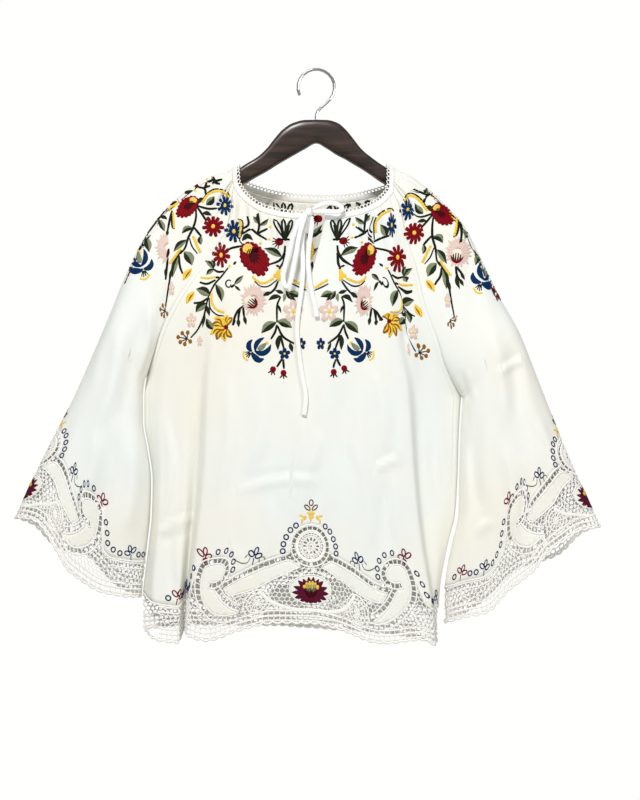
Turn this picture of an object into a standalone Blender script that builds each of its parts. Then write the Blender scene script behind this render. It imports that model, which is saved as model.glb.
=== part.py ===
# Peasant blouse with cutwork borders, hung on a wooden hanger.
# The tables are in millimetres and the meshes in metres. +Z is up, the front faces -Y, left and
# right are as seen from the front, and the origin is where a rod carries the hook.
import math

import bpy
import numpy as np

# Driving sizes in millimetres
metre = 0.001  # one millimetre in metres
clothWall = 1.2
laceWall = 1.2
bindingWall = 1.8
seamGap = 0.3
laceSeam = 0.6  # the lace's curved seam, where the two walls lean apart
sideGap = 1.5  # between the middles of two walls that meet face to face at a side seam
bindingWidth = 7.0
bindingLow = 0.8  # from the panels' upper edges to the binding's lower edge
edgingWidth = 5.0
tieWidth = 6.0
tieThick = 1.6
ladderPitch = 7.5  # along the lace, one hole and one bar
ladderBar = 1.7
ladderLow, ladderHigh = 5.5, 11.5  # height of a ladder hole's bottom and top above the hem
scallopDepth = 2.2
hookWire = 4.0
hookInner = 22.0
hookSweep = (205, -40)  # degrees, from the hook's tip over its top to where the stem begins
hookStem = ((12.5, -43), (6.5, -48), (2.2, -53), (0.3, -58), (0, -63.8))  # x, z down into the bar
raglanTrim = 0.55  # drawn off a panel's edge at the raglan seam
cuffTrim = 0.5  # drawn off each end of a cuff's lace at its two folds
neckMiddle, neckHalf = -4.0, 106.0

# Shares of a panel's length, neck 0 to hem 1
bodyArmpit = 0.46
sleeveArmpit = 0.488
slitEnd = 0.17
slitMiddle, slitHalf = 0.523, 0.055  # shares of the front's width
laceStart = 0.73  # the lowest plain row of cloth above the lace
sleeveLaceStart = 0.70

# Raglan seam from neck to armpit: share, x, y at the front, z
raglanLeft = (
    (0.00, -108, -23, -155),
    (0.13, -112, -25, -190),
    (0.23, -120, -25, -217),
    (0.33, -135, -25, -238),
    (0.45, -156, -26, -265),
    (0.60, -179, -26, -298),
    (0.76, -201, -22, -339),
    (0.90, -213, -11, -373),
    (1.00, -222, 0, -400),
)
raglanRight = (
    (0.00, 101, -23, -162),
    (0.10, 110, -25, -185),
    (0.22, 117, -25, -219),
    (0.36, 130, -25, -257),
    (0.53, 141, -26, -305),
    (0.71, 158, -24, -354),
    (0.83, 168, -18, -386),
    (0.93, 181, -8, -412),
    (1.00, 190, 0, -427),
)
backLift = 8.0  # the back seam starts this much higher at the neck

# Side seam from armpit to hem: share, x, z
sideLeft = (
    (0.00, -222, -400),
    (0.09, -225, -428),
    (0.18, -225, -459),
    (0.30, -219, -497),
    (0.41, -214, -536),
    (0.54, -215, -581),
    (0.66, -219, -620),
    (0.78, -224, -659),
    (0.88, -227, -692),
    (1.00, -226, -732),
)
sideRight = (
    (0.00, 190, -427),
    (0.15, 187, -472),
    (0.34, 185, -536),
    (0.48, 182, -581),
    (0.59, 174, -614),
    (0.68, 168, -642),
    (0.80, 162, -680),
    (1.00, 159, -750),
)

# Shoulder ridge and outer fold of a sleeve from neck to cuff: share, x, z
outlineLeft = (
    (0.000, -110, -130),
    (0.065, -144, -142),
    (0.150, -183, -168),
    (0.240, -216, -205),
    (0.340, -242, -252),
    (0.490, -274, -329),
    (0.700, -322, -438),
    (0.850, -359, -510),
    (1.000, -395, -587),
)
outlineRight = (
    (0.000, 102, -129),
    (0.045, 122, -138),
    (0.106, 151, -159),
    (0.164, 174, -181),
    (0.220, 194, -204),
    (0.285, 211, -237),
    (0.416, 243, -302),
    (0.500, 265, -341),
    (0.620, 291, -406),
    (0.790, 324, -490),
    (0.930, 357, -564),
    (1.000, 373, -598),
)
# Underarm seam of a sleeve from armpit to cuff: share, x, z
underarmLeft = (
    (0.00, -225, -401),
    (0.09, -228, -428),
    (0.20, -228, -459),
    (0.33, -222, -497),
    (0.46, -217, -536),
    (0.62, -218, -581),
    (0.75, -222, -620),
    (0.89, -227, -659),
    (1.00, -230, -690),
)
underarmRight = (
    (0.00, 193, -428),
    (0.16, 190, -472),
    (0.37, 188, -536),
    (0.53, 187, -581),
    (0.64, 180, -614),
    (0.74, 174, -642),
    (0.86, 169, -679),
    (1.00, 168, -724),
)
# Half the depth of a sleeve: share of its length, depth
sleeveDepth = ((0.00, 23), (0.10, 24), (0.25, 27), (0.40, 33), (0.49, 37), (0.75, 37), (1.00, 33))
# How a cuff's edge waves: share from the underarm to the outer fold, rise
cuffWave = {
    ("left", "front"): (
        (0, 0), (0.15, -12), (0.37, -24), (0.55, -20), (0.64, -4), (0.8, 16), (0.92, 9), (1, 0)),
    ("left", "back"): ((0, 0), (0.2, -9), (0.45, 4), (0.7, -8), (0.88, 3), (1, 0)),
    ("right", "front"): (
        (0, 0), (0.12, -6), (0.28, -17), (0.4, -6), (0.55, 0), (0.65, 13), (0.82, 15), (0.93, 7), (1, 0)),
    ("right", "back"): ((0, 0), (0.2, -8), (0.5, 5), (0.75, -7), (0.9, 3), (1, 0)),
}

# Lines that run down the front from neck to hem: share of the width, then share of length, x, y
frontLines = {
    "left crest": (0.07, (
        (0.00, -99, -28), (0.10, -106, -30), (0.24, -149, -33), (0.46, -195, -21),
        (0.64, -199, -23), (0.78, -203, -25), (0.93, -209, -26), (1.00, -208, -27))),
    "left lip": (0.135, (
        (0.00, -89, -33), (0.10, -92, -36), (0.24, -127, -39), (0.46, -164, -30),
        (0.64, -170, -26), (0.78, -174, -25), (0.93, -179, -25), (1.00, -180, -26))),
    "valley": (0.17, (
        (0.00, -83, -35), (0.10, -85, -38), (0.24, -116, -41), (0.46, -150, -27),
        (0.64, -157, -17), (0.78, -163, -10), (0.93, -171, -3), (1.00, -173, 0))),
    "main lip": (0.21, (
        (0.00, -76, -37), (0.10, -77, -40), (0.24, -105, -44), (0.46, -138, -38),
        (0.64, -143, -38), (0.78, -152, -38), (0.93, -162, -39), (1.00, -166, -40))),
    "left middle": (0.36, (
        (0.00, -43, -43), (0.10, -42, -46), (0.24, -61, -49), (0.46, -78, -48),
        (0.64, -82, -47), (0.78, -86, -46), (0.93, -90, -45), (1.00, -91, -44))),
    "middle": (0.523, (
        (0.00, -2, -48), (0.10, -4, -50), (0.24, -6, -52), (0.46, -5, -51),
        (0.64, -5, -50), (0.78, -5, -49), (0.93, -5, -47), (1.00, -5, -46))),
    "right middle": (0.69, (
        (0.00, 39, -44), (0.10, 43, -47), (0.24, 48, -49), (0.46, 58, -48),
        (0.64, 61, -47), (0.78, 64, -46), (0.93, 68, -45), (1.00, 70, -44))),
    "right fold": (0.85, (
        (0.00, 76, -36), (0.10, 83, -40), (0.24, 97, -43), (0.46, 117, -41),
        (0.64, 125, -40), (0.78, 134, -40), (0.93, 149, -41), (1.00, 153, -42))),
    "right dip": (0.89, (
        (0.00, 84, -33), (0.10, 93, -37), (0.24, 107, -38), (0.46, 129, -24),
        (0.64, 134, -19), (0.78, 142, -17), (0.93, 153, -18), (1.00, 155, -22))),
    "right strip": (0.945, (
        (0.00, 93, -28), (0.10, 105, -31), (0.24, 124, -31), (0.46, 159, -14),
        (0.64, 161, -11), (0.78, 161, -10), (0.93, 157, -9), (1.00, 157, -9))),
}
frontDip = ((0.0, -41), (0.1, -24), (0.2, -12), (0.3, -4), (0.46, 0), (1.0, 0))  # share of length, drop
frontHem = (  # share of the width, rise of the hem
    (0.0, 0), (0.07, -10), (0.135, -13), (0.17, 2), (0.21, -1), (0.27, -6), (0.34, 8), (0.43, 20),
    (0.523, 21), (0.6, 15), (0.72, -1), (0.8, 5), (0.85, -2), (0.945, 2), (1.0, 0))

backDepth = ((0.0, 38), (0.2, 43), (0.46, 40), (0.75, 37), (1.0, 36))  # share of length, y at the middle
backDip = ((0.0, -20), (0.1, -11), (0.2, -5), (0.3, 0), (1.0, 0))
# Soft folds of the back: share of the width, half width, depth at the hem
backFolds = ((0.13, 0.045, 9), (0.31, 0.05, -7), (0.47, 0.04, 8), (0.66, 0.05, -8), (0.85, 0.045, 9))

# Height of the lace above the hem: distance from its pattern's middle, height
laceTop = (
    (0, 127), (10, 125), (18, 119), (24, 108), (30, 92), (60, 82), (92, 71), (99, 76), (107, 95),
    (116, 104), (127, 106), (140, 99), (151, 76), (162, 52), (175, 46), (400, 46))

# Gathers at the neck: share of length, height of the ruffles
gatherHeight = (
    (0.0, 0.5), (0.012, 1.3), (0.03, 2.1), (0.055, 1.8), (0.085, 1.1), (0.12, 0.5), (0.17, 0), (1, 0))
frontGathers, backGathers, sleeveGathers = 14, 12, 4

# Rows of the yoke, share of the seam from neck to armpit, that the four panels share
yokeShares = (0, 0.026, 0.065, 0.12, 0.185, 0.26, slitEnd / bodyArmpit, 0.5, 0.65, 0.82, 1)
gatheredRows = 5  # of those, rows with points enough for the gathers

# Wooden bar: x, z of its top edge, z of its bottom edge, half depth
barSections = (
    (-200, -198, -201, 5), (-198, -193, -204, 9), (-192, -185, -203, 12), (-183, -174, -195, 13),
    (-164, -158.5, -181, 13), (-144, -146.5, -170, 13), (-122, -136, -161, 13), (-104, -130.5, -152, 13),
    (-92, -123, -147, 13), (-78, -114.5, -139, 12), (-65, -103, -132, 12), (-54, -89, -125, 12),
    (-44, -78, -119, 12), (-30, -69, -111, 12), (-14, -65.2, -102, 12), (0, -65, -95, 12),
    (14, -65.2, -102, 12), (28, -69, -111, 12), (38, -77, -116, 12), (48, -89, -122, 12),
    (60, -104, -129, 12), (72, -114, -137, 12), (85, -123.5, -146, 13), (98, -131, -153, 13),
    (122, -141.2, -165, 13), (151, -164, -186, 13), (174, -187, -206, 13), (183, -198, -212, 12),
    (189, -207, -216, 9), (191, -210.5, -213, 5))
barSides = 10

# Ties from the knot outwards: x, y, z by eye along each one
tieRoutes = {
    "tie_left_loop": (
        (-13, -51.8, -190.5), (-17, -53.8, -196.5), (-24, -57.5, -208), (-31, -60.5, -229),
        (-38, -60.5, -254), (-42, -60, -272), (-41, -60, -283), (-37, -61, -287), (-33, -62, -281),
        (-30, -63, -266), (-26, -64, -246), (-22, -64, -224), (-18, -61, -207), (-14.5, -57.2, -198),
        (-12.3, -54.7, -192)),
    "tie_right_loop": (
        (-5.5, -51.3, -188), (3, -53.5, -182.5), (13, -54.2, -179.5), (24, -53.2, -180), (32, -51.8, -183.5),
        (33, -52, -188), (26, -54.6, -190.5), (14, -56, -190), (4, -55.8, -190), (-5, -53.7, -190.5)),
    "tie_long_end": (
        (-12, -48.2, -195.9), (-13, -50.5, -203), (-15.5, -54, -212), (-18, -56.5, -229), (-17, -57.5, -252),
        (-17, -57, -271), (-19, -56.5, -292), (-22, -56, -312), (-24, -55.5, -330), (-24.5, -55, -345),
        (-23, -55, -362), (-21, -55, -380), (-18, -55, -400), (-14, -55, -420), (-13.5, -55, -436),
        (-16, -55, -452)),
    "tie_short_end": (
        (-5.4, -48.4, -196.2), (-5.2, -50.5, -203), (-6, -53.5, -212), (-8, -56.5, -226), (-10, -57.5, -245),
        (-10, -57.5, -262), (-8, -57, -279), (-5, -56, -296), (-1, -56, -312), (1, -56, -326)),
}
tieSpacing = {"tie_left_loop": 7, "tie_right_loop": 5, "tie_long_end": 12, "tie_short_end": 12}
knotCentre, knotHalf = (-9.2, -46.6, -190.5), (6.2, 4.8, 5.8)


# Curves through short tables


def smoothTangents(step, values):
    # Slopes of a curve that never overshoots its points
    slope = np.diff(values, axis=-1) / step
    first, second = slope[..., :-1], slope[..., 1:]
    turns = first * second > 0
    safeFirst, safeSecond = np.where(turns, first, 1.0), np.where(turns, second, 1.0)
    before, after = 2 * step[1:] + step[:-1], step[1:] + 2 * step[:-1]
    inner = np.where(turns, (before + after) / (before / safeFirst + after / safeSecond), 0.0)
    return np.concatenate([slope[..., :1], inner, slope[..., -1:]], axis=-1)


def smoothAcross(knots, values, at):
    # values holds one row of knot values for each entry of at
    knots = np.asarray(knots, float)
    step = np.diff(knots)
    tangents = smoothTangents(step, values)
    at = np.clip(at, knots[0], knots[-1])
    i = np.clip(np.searchsorted(knots, at, side="right") - 1, 0, len(step) - 1)
    pick = np.arange(len(at))
    h = step[i]
    t = (at - knots[i]) / h
    start, end = values[pick, i], values[pick, i + 1]
    leave, arrive = tangents[pick, i] * h, tangents[pick, i + 1] * h
    return (
        start * (2 * t**3 - 3 * t**2 + 1)
        + leave * (t**3 - 2 * t**2 + t)
        + end * (3 * t**2 - 2 * t**3)
        + arrive * (t**3 - t**2)
    )


def column(table, index, at):
    # One column of a table, read smoothly at the given keys
    rows = np.asarray(table, float)
    at = np.atleast_1d(np.asarray(at, float))
    values = np.broadcast_to(rows[:, index], (len(at), len(rows)))
    return smoothAcross(rows[:, 0], values, at)


def smoothStep(t):
    t = np.clip(t, 0, 1)
    return t * t * (3 - 2 * t)


# Surfaces of the four panels: shares of width and length to points in millimetres


def bodyEdge(raglan, side, v):
    share, below = v / bodyArmpit, (v - bodyArmpit) / (1 - bodyArmpit)
    upper = np.stack([column(raglan, i, share) for i in (1, 2, 3)], 1)
    lower = np.stack([column(side, 1, below), np.zeros(len(v)), column(side, 2, below)], 1)
    return np.where((v <= bodyArmpit)[:, None], upper, lower)


def gathers(count, across, v):
    uneven = count * across + 0.25 * np.sin(2 * math.pi * (2.3 * across + 0.2))
    return column(gatherHeight, 1, v) * np.sin(2 * math.pi * uneven)


def frontAt(u, v):
    u, v = np.asarray(u, float), np.asarray(v, float)
    left, right = bodyEdge(raglanLeft, sideLeft, v), bodyEdge(raglanRight, sideRight, v)
    knots = [0.0] + [place for place, _ in frontLines.values()] + [1.0]
    xs = np.stack([left[:, 0]] + [column(line, 1, v) for _, line in frontLines.values()] + [right[:, 0]], 1)
    ys = np.stack([left[:, 1]] + [column(line, 2, v) for _, line in frontLines.values()] + [right[:, 1]], 1)
    bow = 1 - np.abs(2 * u - 1) ** 2.5
    hem = column(frontHem, 1, u) * smoothStep((v - 0.72) / 0.28)
    z = left[:, 2] * (1 - u) + right[:, 2] * u + column(frontDip, 1, v) * bow + hem
    inset = smoothStep(20 * u) * smoothStep(20 * (1 - u))
    y = smoothAcross(knots, ys, u) - gathers(frontGathers, u, v) * inset
    return np.stack([smoothAcross(knots, xs, u), y, z], 1)


def backAt(u, v):
    u, v = np.asarray(u, float), np.asarray(v, float)
    left, right = bodyEdge(raglanLeft, sideLeft, v), bodyEdge(raglanRight, sideRight, v)
    lift = backLift * np.clip(1 - v / bodyArmpit, 0, 1) ** 3
    edge = -(left[:, 1] * (1 - u) + right[:, 1] * u)
    bulge = 1 - np.abs(2 * u - 1) ** 3
    y = edge + (column(backDepth, 1, v) - edge) * bulge
    for place, half, depth in backFolds:
        y = y + depth * smoothStep((v - 0.25) / 0.5) * np.exp(-(((u - place) / half) ** 2))
    y = y + gathers(backGathers, u, v) * smoothStep(20 * u) * smoothStep(20 * (1 - u))
    bow = 1 - np.abs(2 * u - 1) ** 2.5
    hem = 8 * bow * smoothStep((v - 0.6) / 0.4)
    x = left[:, 0] * (1 - u) + right[:, 0] * u
    z = left[:, 2] * (1 - u) + right[:, 2] * u + lift + column(backDip, 1, v) * bow + hem
    return np.stack([x, y, z], 1)


sleeveTables = {
    "left": (raglanLeft, underarmLeft, outlineLeft),
    "right": (raglanRight, underarmRight, outlineRight),
}


def sleeveAt(hand, r, v):
    # r runs round the sleeve: 0 at the front of the inner seam, 1 at the outer fold, 2 at the back
    r, v = np.asarray(r, float), np.asarray(v, float)
    raglan, underarm, outline = sleeveTables[hand]
    atFront = r <= 1
    s = np.where(atFront, r, 2 - r)
    share, below = v / sleeveArmpit, (v - sleeveArmpit) / (1 - sleeveArmpit)
    above = v < sleeveArmpit
    innerX = np.where(above, column(raglan, 1, share), column(underarm, 1, below))
    innerZ = np.where(above, column(raglan, 3, share), column(underarm, 2, below))
    innerY = np.where(above, -column(raglan, 2, share), 0)
    lift = np.where(atFront, 0, backLift * np.clip(1 - share, 0, 1) ** 3)
    outerX, outerZ = column(outline, 1, v), column(outline, 2, v)
    depth = column(sleeveDepth, 1, v)
    outerTurn = np.sqrt(np.clip(1 - s**4, 0, 1))
    innerTurn = np.sqrt(np.clip(1 - (1 - s) ** 4, 0, 1))
    y = outerTurn * (innerY + np.maximum(depth - innerY, 0) * innerTurn)
    y = y + gathers(sleeveGathers, s, v) * outerTurn
    flute = 5 * np.sin(2 * math.pi * (1.7 * s + np.where(atFront, 0.1, 0.55))) * 4 * s * (1 - s)
    y = y + flute * smoothStep((v - 0.6) / 0.4)
    wave = np.where(atFront, column(cuffWave[hand, "front"], 1, s), column(cuffWave[hand, "back"], 1, s))
    x = innerX + (outerX - innerX) * s
    z = innerZ + lift * (1 - s) + (outerZ - innerZ) * s + wave * smoothStep((v - 0.72) / 0.28)
    return np.stack([x, np.where(atFront, -y, y), z], 1)


# Measures along a surface


def lengthsAlong(points):
    return np.concatenate([[0], np.cumsum(np.linalg.norm(np.diff(points, axis=0), axis=1))])


def placesAlongHem(surface, start, end, middle):
    # Shares across from start to end, and how far each lies from the middle, measured on the hem
    across = np.linspace(start, end, 401)
    run = lengthsAlong(surface(across, np.ones(401)))
    return across, run - np.interp(middle, across, run)


def shareAtHeight(surface, across, height):
    # Share of length at a height above the hem, measured on the cloth
    levels = np.linspace(1, 0.55, 46)
    found = []
    for place, rise in zip(across, height):
        run = lengthsAlong(surface(np.full(46, place), levels))
        found.append(np.interp(rise, run, levels))
    return np.array(found)


# Walls built from rows of points


def zipRows(upper, lower, upperKeys, lowerKeys):
    # Triangles between two rows whose points need not match, in the order of their keys
    i = j = 0
    faces = []
    while i < len(upper) - 1 or j < len(lower) - 1:
        nextUpper = upperKeys[i + 1] if i < len(upper) - 1 else math.inf
        nextLower = lowerKeys[j + 1] if j < len(lower) - 1 else math.inf
        if nextUpper <= nextLower:
            faces.append((upper[i], lower[j], upper[i + 1]))
            i += 1
        else:
            faces.append((upper[i], lower[j], lower[j + 1]))
            j += 1
    return [face for face in faces if len(set(face)) == 3]


class Cloth:
    # Middle surface of a piece, later given its thickness

    def __init__(self):
        self.points = []
        self.faces = []

    def addRow(self, points):
        start = len(self.points)
        self.points.extend(points)
        return list(range(start, start + len(points)))

    def join(self, upper, lower, upperKeys, lowerKeys):
        self.faces.extend(zipRows(upper, lower, upperKeys, lowerKeys))


def makeObject(name, points, faces, material):
    mesh = bpy.data.meshes.new(name)
    mesh.from_pydata([tuple(p * metre) for p in np.asarray(points, float)], [], faces)
    mesh.materials.append(material)
    mesh.shade_smooth()
    mesh.set_sharp_from_angle(angle=math.radians(40))
    mesh.update()
    made = bpy.data.objects.new(name, mesh)
    bpy.context.scene.collection.objects.link(made)
    return made


def thicken(name, cloth, wall, material, turned=False):
    # Two skins half a wall to each side of the middle surface, joined round every open edge
    points = np.asarray(cloth.points, float)
    faces = np.asarray(cloth.faces)
    if turned:
        faces = faces[:, ::-1]
    corners = points[faces]
    facing = np.cross(corners[:, 1] - corners[:, 0], corners[:, 2] - corners[:, 0])
    normals = np.zeros_like(points)
    for k in range(3):
        np.add.at(normals, faces[:, k], facing)
    normals /= np.maximum(np.linalg.norm(normals, axis=1, keepdims=True), 1e-9)
    outer, inner = points + normals * wall / 2, points - normals * wall / 2
    count = len(points)
    edges = {(f[k], f[(k + 1) % 3]) for f in faces.tolist() for k in range(3)}
    rims = [(a, b) for a, b in edges if (b, a) not in edges]
    walls = [(b, a, a + count, b + count) for a, b in sorted(rims)]
    inside = (faces[:, ::-1] + count).tolist()
    return makeObject(name, np.concatenate([outer, inner]), faces.tolist() + inside + walls, material)


def trimEnds(points, trim):
    points = points.copy()
    for end, neighbour in ((0, 1), (-1, -2)):
        along = points[neighbour] - points[end]
        points[end] += trim * along / np.linalg.norm(along)
    return points


def keepApart(points, facing, v):
    # Draws a body panel's two edges off its seams: raglan above the armpit, side seam below
    if v < bodyArmpit:
        points = trimEnds(points, raglanTrim + 0.45 * (v / bodyArmpit) ** 6)
    for end in (0, -1):
        points[end, 1] = facing * max(abs(points[end, 1]), sideGap / 2)
    return points


# The lace's upper edge on a panel


def laceEdge(surface, start, end, middle, coarse):
    # Places across for the seam between cloth and lace, and its height at each
    across, distance = placesAlongHem(surface, start, end, middle)
    corners = sorted({sign * row[0] for row in laceTop for sign in (-1, 1)})
    keys = [np.interp(c, distance, across) for c in corners if distance[0] + 4 < c < distance[-1] - 4]
    near = 0.012 * (end - start)
    places = sorted(keys + [c for c in coarse if all(abs(c - k) > near for k in keys)])
    along = np.interp(places, across, distance)
    heights = column(laceTop, 1, np.abs(along))
    # On a steep stretch the seam is drawn further apart in height to keep its width
    slope = np.abs(np.diff(heights) / np.diff(along))
    steepest = np.maximum(np.append(slope, 0), np.insert(slope, 0, 0))
    return np.array(places), heights, laceSeam / 2 * np.sqrt(1 + steepest**2)


# Body panels


def slitRow(base, v):
    # Shares across for one row, left and right of the keyhole slit
    half = slitHalf * max(0.0, 1 - v / slitEnd)
    leftKeys = [b for b in base if b < slitMiddle + 1e-9]
    rightKeys = [b for b in base if b > slitMiddle - 1e-9]
    left = [b * (slitMiddle - half) / slitMiddle for b in leftKeys]
    right = [1 - (1 - b) * (1 - slitMiddle - half) / (1 - slitMiddle) for b in rightKeys]
    return left, right, leftKeys, rightKeys


frontFine = [slitMiddle * i / 28 for i in range(29)]
frontFine += [slitMiddle + (1 - slitMiddle) * i / 26 for i in range(1, 27)]
frontCoarse = [
    0, 0.035, 0.07, 0.105, 0.135, 0.153, 0.17, 0.19, 0.21, 0.26, 0.31, 0.36, 0.41, 0.465, slitMiddle,
    0.58, 0.635, 0.69, 0.745, 0.8, 0.85, 0.87, 0.89, 0.918, 0.945, 0.973, 1]
backFine = [i / 48 for i in range(49)]
backCoarse = [i / 20 for i in range(21)]


def makeFront(material):
    cloth = Cloth()
    lacePlaces, laceHeights, laceGap = laceEdge(frontAt, 0, 1, slitMiddle, frontCoarse)
    laceShares = shareAtHeight(frontAt, lacePlaces, laceHeights + laceGap)
    above = None
    levels = [share * bodyArmpit for share in yokeShares] + [0.55, 0.64, laceStart]
    for number, v in enumerate(levels):
        base = frontFine if number < gatheredRows else frontCoarse
        left, right, *keys = slitRow(base, v)
        joined = v >= slitEnd - 1e-9
        across = left + right[1:] if joined else left + right
        points = keepApart(frontAt(across, np.full(len(across), v)), -1, v)
        row = cloth.addRow(points)
        halves = row[: len(left)], row[len(left) - 1 :] if joined else row[len(left) :]
        if above:
            for side in (0, 1):
                cloth.join(above[0][side], halves[side], above[1][side], keys[side])
        above = halves, keys
    upper, upperKeys = above[0][0] + above[0][1][1:], frontCoarse
    for share in (1 / 3, 2 / 3, 1):
        across = lacePlaces if share > 0.5 else np.array(frontCoarse)
        target = np.interp(across, lacePlaces, laceShares)
        v = laceStart + share * (target - laceStart)
        lower = cloth.addRow(keepApart(frontAt(across, v), -1, 1))
        cloth.join(upper, lower, upperKeys, across)
        upper, upperKeys = lower, across
    return thicken("front_panel", cloth, clothWall, material)


def makeBack(material):
    cloth = Cloth()
    lacePlaces, laceHeights, laceGap = laceEdge(backAt, 0, 1, 0.5, backCoarse)
    laceShares = shareAtHeight(backAt, lacePlaces, laceHeights + laceGap)
    upper = None
    levels = [share * bodyArmpit for share in yokeShares] + [0.55, 0.64, laceStart]
    for number, v in enumerate(levels):
        across = backFine if number < gatheredRows - 1 else backCoarse
        lower = cloth.addRow(keepApart(backAt(across, np.full(len(across), v)), 1, v))
        if upper:
            cloth.join(upper, lower, upperKeys, across)
        upper, upperKeys = lower, across
    for share in (1 / 3, 1):
        across = lacePlaces if share > 0.5 else np.array(backCoarse)
        target = np.interp(across, lacePlaces, laceShares)
        v = laceStart + share * (target - laceStart)
        lower = cloth.addRow(keepApart(backAt(across, v), 1, 1))
        cloth.join(upper, lower, upperKeys, across)
        upper, upperKeys = lower, across
    return thicken("back_panel", cloth, clothWall, material, turned=True)


# Sleeves


def roundSleeve(half):
    # Places round a sleeve, closer together where it turns
    front = [(1 - math.cos(math.pi * i / half)) / 2 for i in range(half + 1)]
    return front + [2 - s for s in front[-2::-1]]


sleeveCoarse = roundSleeve(9)


def makeSleeve(hand, material):
    cloth = Cloth()

    def surface(r, v):
        return sleeveAt(hand, r, v)

    lacePlaces, laceHeights, laceGap = laceEdge(surface, 0, 2, 1, sleeveCoarse)
    laceShares = shareAtHeight(surface, lacePlaces, laceHeights + laceGap)
    upper = None
    for share in yokeShares[:-1]:
        v = share * sleeveArmpit
        points = surface(sleeveCoarse, np.full(len(sleeveCoarse), v))
        row = cloth.addRow(trimEnds(points, raglanTrim + 0.45 * share**6))
        if upper:
            cloth.join(upper, row, sleeveCoarse, sleeveCoarse)
        upper = row
    upperKeys = sleeveCoarse
    tube = [sleeveArmpit, 0.54, 0.60, 0.65, sleeveLaceStart]
    rows = [(sleeveCoarse, np.full(len(sleeveCoarse), v)) for v in tube]
    for share in (1 / 3, 1):
        across = lacePlaces if share > 0.5 else np.array(sleeveCoarse)
        target = np.interp(across, lacePlaces, laceShares)
        rows.append((across, sleeveLaceStart + share * (target - sleeveLaceStart)))
    for across, v in rows:
        row = cloth.addRow(surface(across, v)[:-1])
        row = row + row[:1]
        cloth.join(upper, row, upperKeys, across)
        upper, upperKeys = row, across
    return thicken("sleeve_" + hand, cloth, clothWall, material, turned=hand == "left")


# Lace borders, pierced by a row of ladder holes above the scalloped edge


def makeLace(name, surface, span, middle, whole, coarse, apart, material, turned=False):
    cloth = Cloth()
    across, distance = placesAlongHem(surface, span[0], span[1], middle)
    places, heights, gap = laceEdge(surface, whole[0], whole[1], middle, coarse)
    inside = (places > span[0] - 1e-6) & (places < span[1] + 1e-6)
    topPlaces, topHeights = places[inside], (heights - gap)[inside]
    length = distance[-1] - distance[0]
    count = round(length / ladderPitch)
    pitch = length / count
    half = ladderBar / pitch / 2

    def addLine(placed, height):
        return cloth.addRow(apart(surface(placed, shareAtHeight(surface, placed, height))))

    bars = [(0, 2 * half)] + [(i - half, i + half) for i in range(1, count)] + [(count - 2 * half, count)]
    ladderPlaces = np.interp(distance[0] + np.ravel(bars) * pitch, distance, across)
    hemPlaces = np.interp(distance[0] + np.arange(count + 1) * pitch, distance, across)
    scallop = np.where(np.arange(count + 1) % 2 == 0, scallopDepth, 0)
    top = addLine(topPlaces, topHeights)
    high = addLine(ladderPlaces, np.full(len(ladderPlaces), ladderHigh))
    low = addLine(ladderPlaces, np.full(len(ladderPlaces), ladderLow))
    hem = addLine(hemPlaces, scallop)
    cloth.join(top, high, topPlaces, ladderPlaces)
    for i in range(0, len(high), 2):
        cloth.join(high[i : i + 2], low[i : i + 2], ladderPlaces[i : i + 2], ladderPlaces[i : i + 2])
    cloth.join(low, hem, ladderPlaces, hemPlaces)
    return thicken(name, cloth, laceWall, material, turned)


def makeCuffLace(hand, half, material):
    def surface(r, v):
        return sleeveAt(hand, r, v)

    span = (0, 1) if half == "front" else (1, 2)
    name = "cuff_lace_" + hand + "_" + half
    return makeLace(
        name, surface, span, 1, (0, 2), sleeveCoarse, lambda points: trimEnds(points, cuffTrim),
        material, turned=hand == "left")


# Neckline


def neckRing():
    # The panels' upper edges in order, from the slit's left side round the back to its right side
    frontLeft = np.linspace(slitMiddle - slitHalf, 0, 16)
    frontRight = np.linspace(1, slitMiddle + slitHalf, 15)
    over = np.linspace(0, 2, 15)
    across = np.linspace(0, 1, 25)
    parts = [
        frontAt(frontLeft, np.zeros(16)),
        sleeveAt("left", over, np.zeros(15))[1:],
        backAt(across, np.zeros(25))[1:],
        sleeveAt("right", over[::-1], np.zeros(15))[1:],
        frontAt(frontRight, np.zeros(15))[1:],
    ]
    return np.concatenate(parts)


def neckRise(points):
    # The way the binding stands up from the panels: upright in front, leaning inwards at the sides
    lean = 0.1 + 0.5 * (np.abs(points[:, 0] - neckMiddle) / neckHalf) ** 2
    inwards = np.stack([neckMiddle - points[:, 0], -points[:, 1]], 1)
    inwards /= np.linalg.norm(inwards, axis=1, keepdims=True)
    rise = np.concatenate([inwards * lean[:, None], 1 - lean[:, None]], 1)
    return rise / np.linalg.norm(rise, axis=1, keepdims=True)


def makeNeckStrip(name, low, high, wall, material):
    cloth = Cloth()
    ring = neckRing()
    rise = neckRise(ring)
    keys = lengthsAlong(ring)
    upper = cloth.addRow(ring + rise * high)
    lower = cloth.addRow(ring + rise * low)
    cloth.join(upper, lower, keys, keys)
    return thicken(name, cloth, wall, material, turned=True)


# Ties


def smoothRoute(points, spacing):
    # Points at even spacing on a smooth curve through the route's own points
    points = np.asarray(points, float)
    padded = np.concatenate([[2 * points[0] - points[1]], points, [2 * points[-1] - points[-2]]])
    fine = []
    for a, b, c, d in zip(padded, padded[1:], padded[2:], padded[3:]):
        for t in np.linspace(0, 1, 12, endpoint=False):
            fine.append(
                0.5 * (2 * b + (c - a) * t + (2 * a - 5 * b + 4 * c - d) * t**2
                       + (3 * b - a - 3 * c + d) * t**3))
    fine = np.array(fine + [points[-1]])
    run = lengthsAlong(fine)
    places = np.linspace(0, run[-1], max(3, round(run[-1] / spacing)) + 1)
    return np.stack([np.interp(places, run, fine[:, k]) for k in range(3)], 1)


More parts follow.
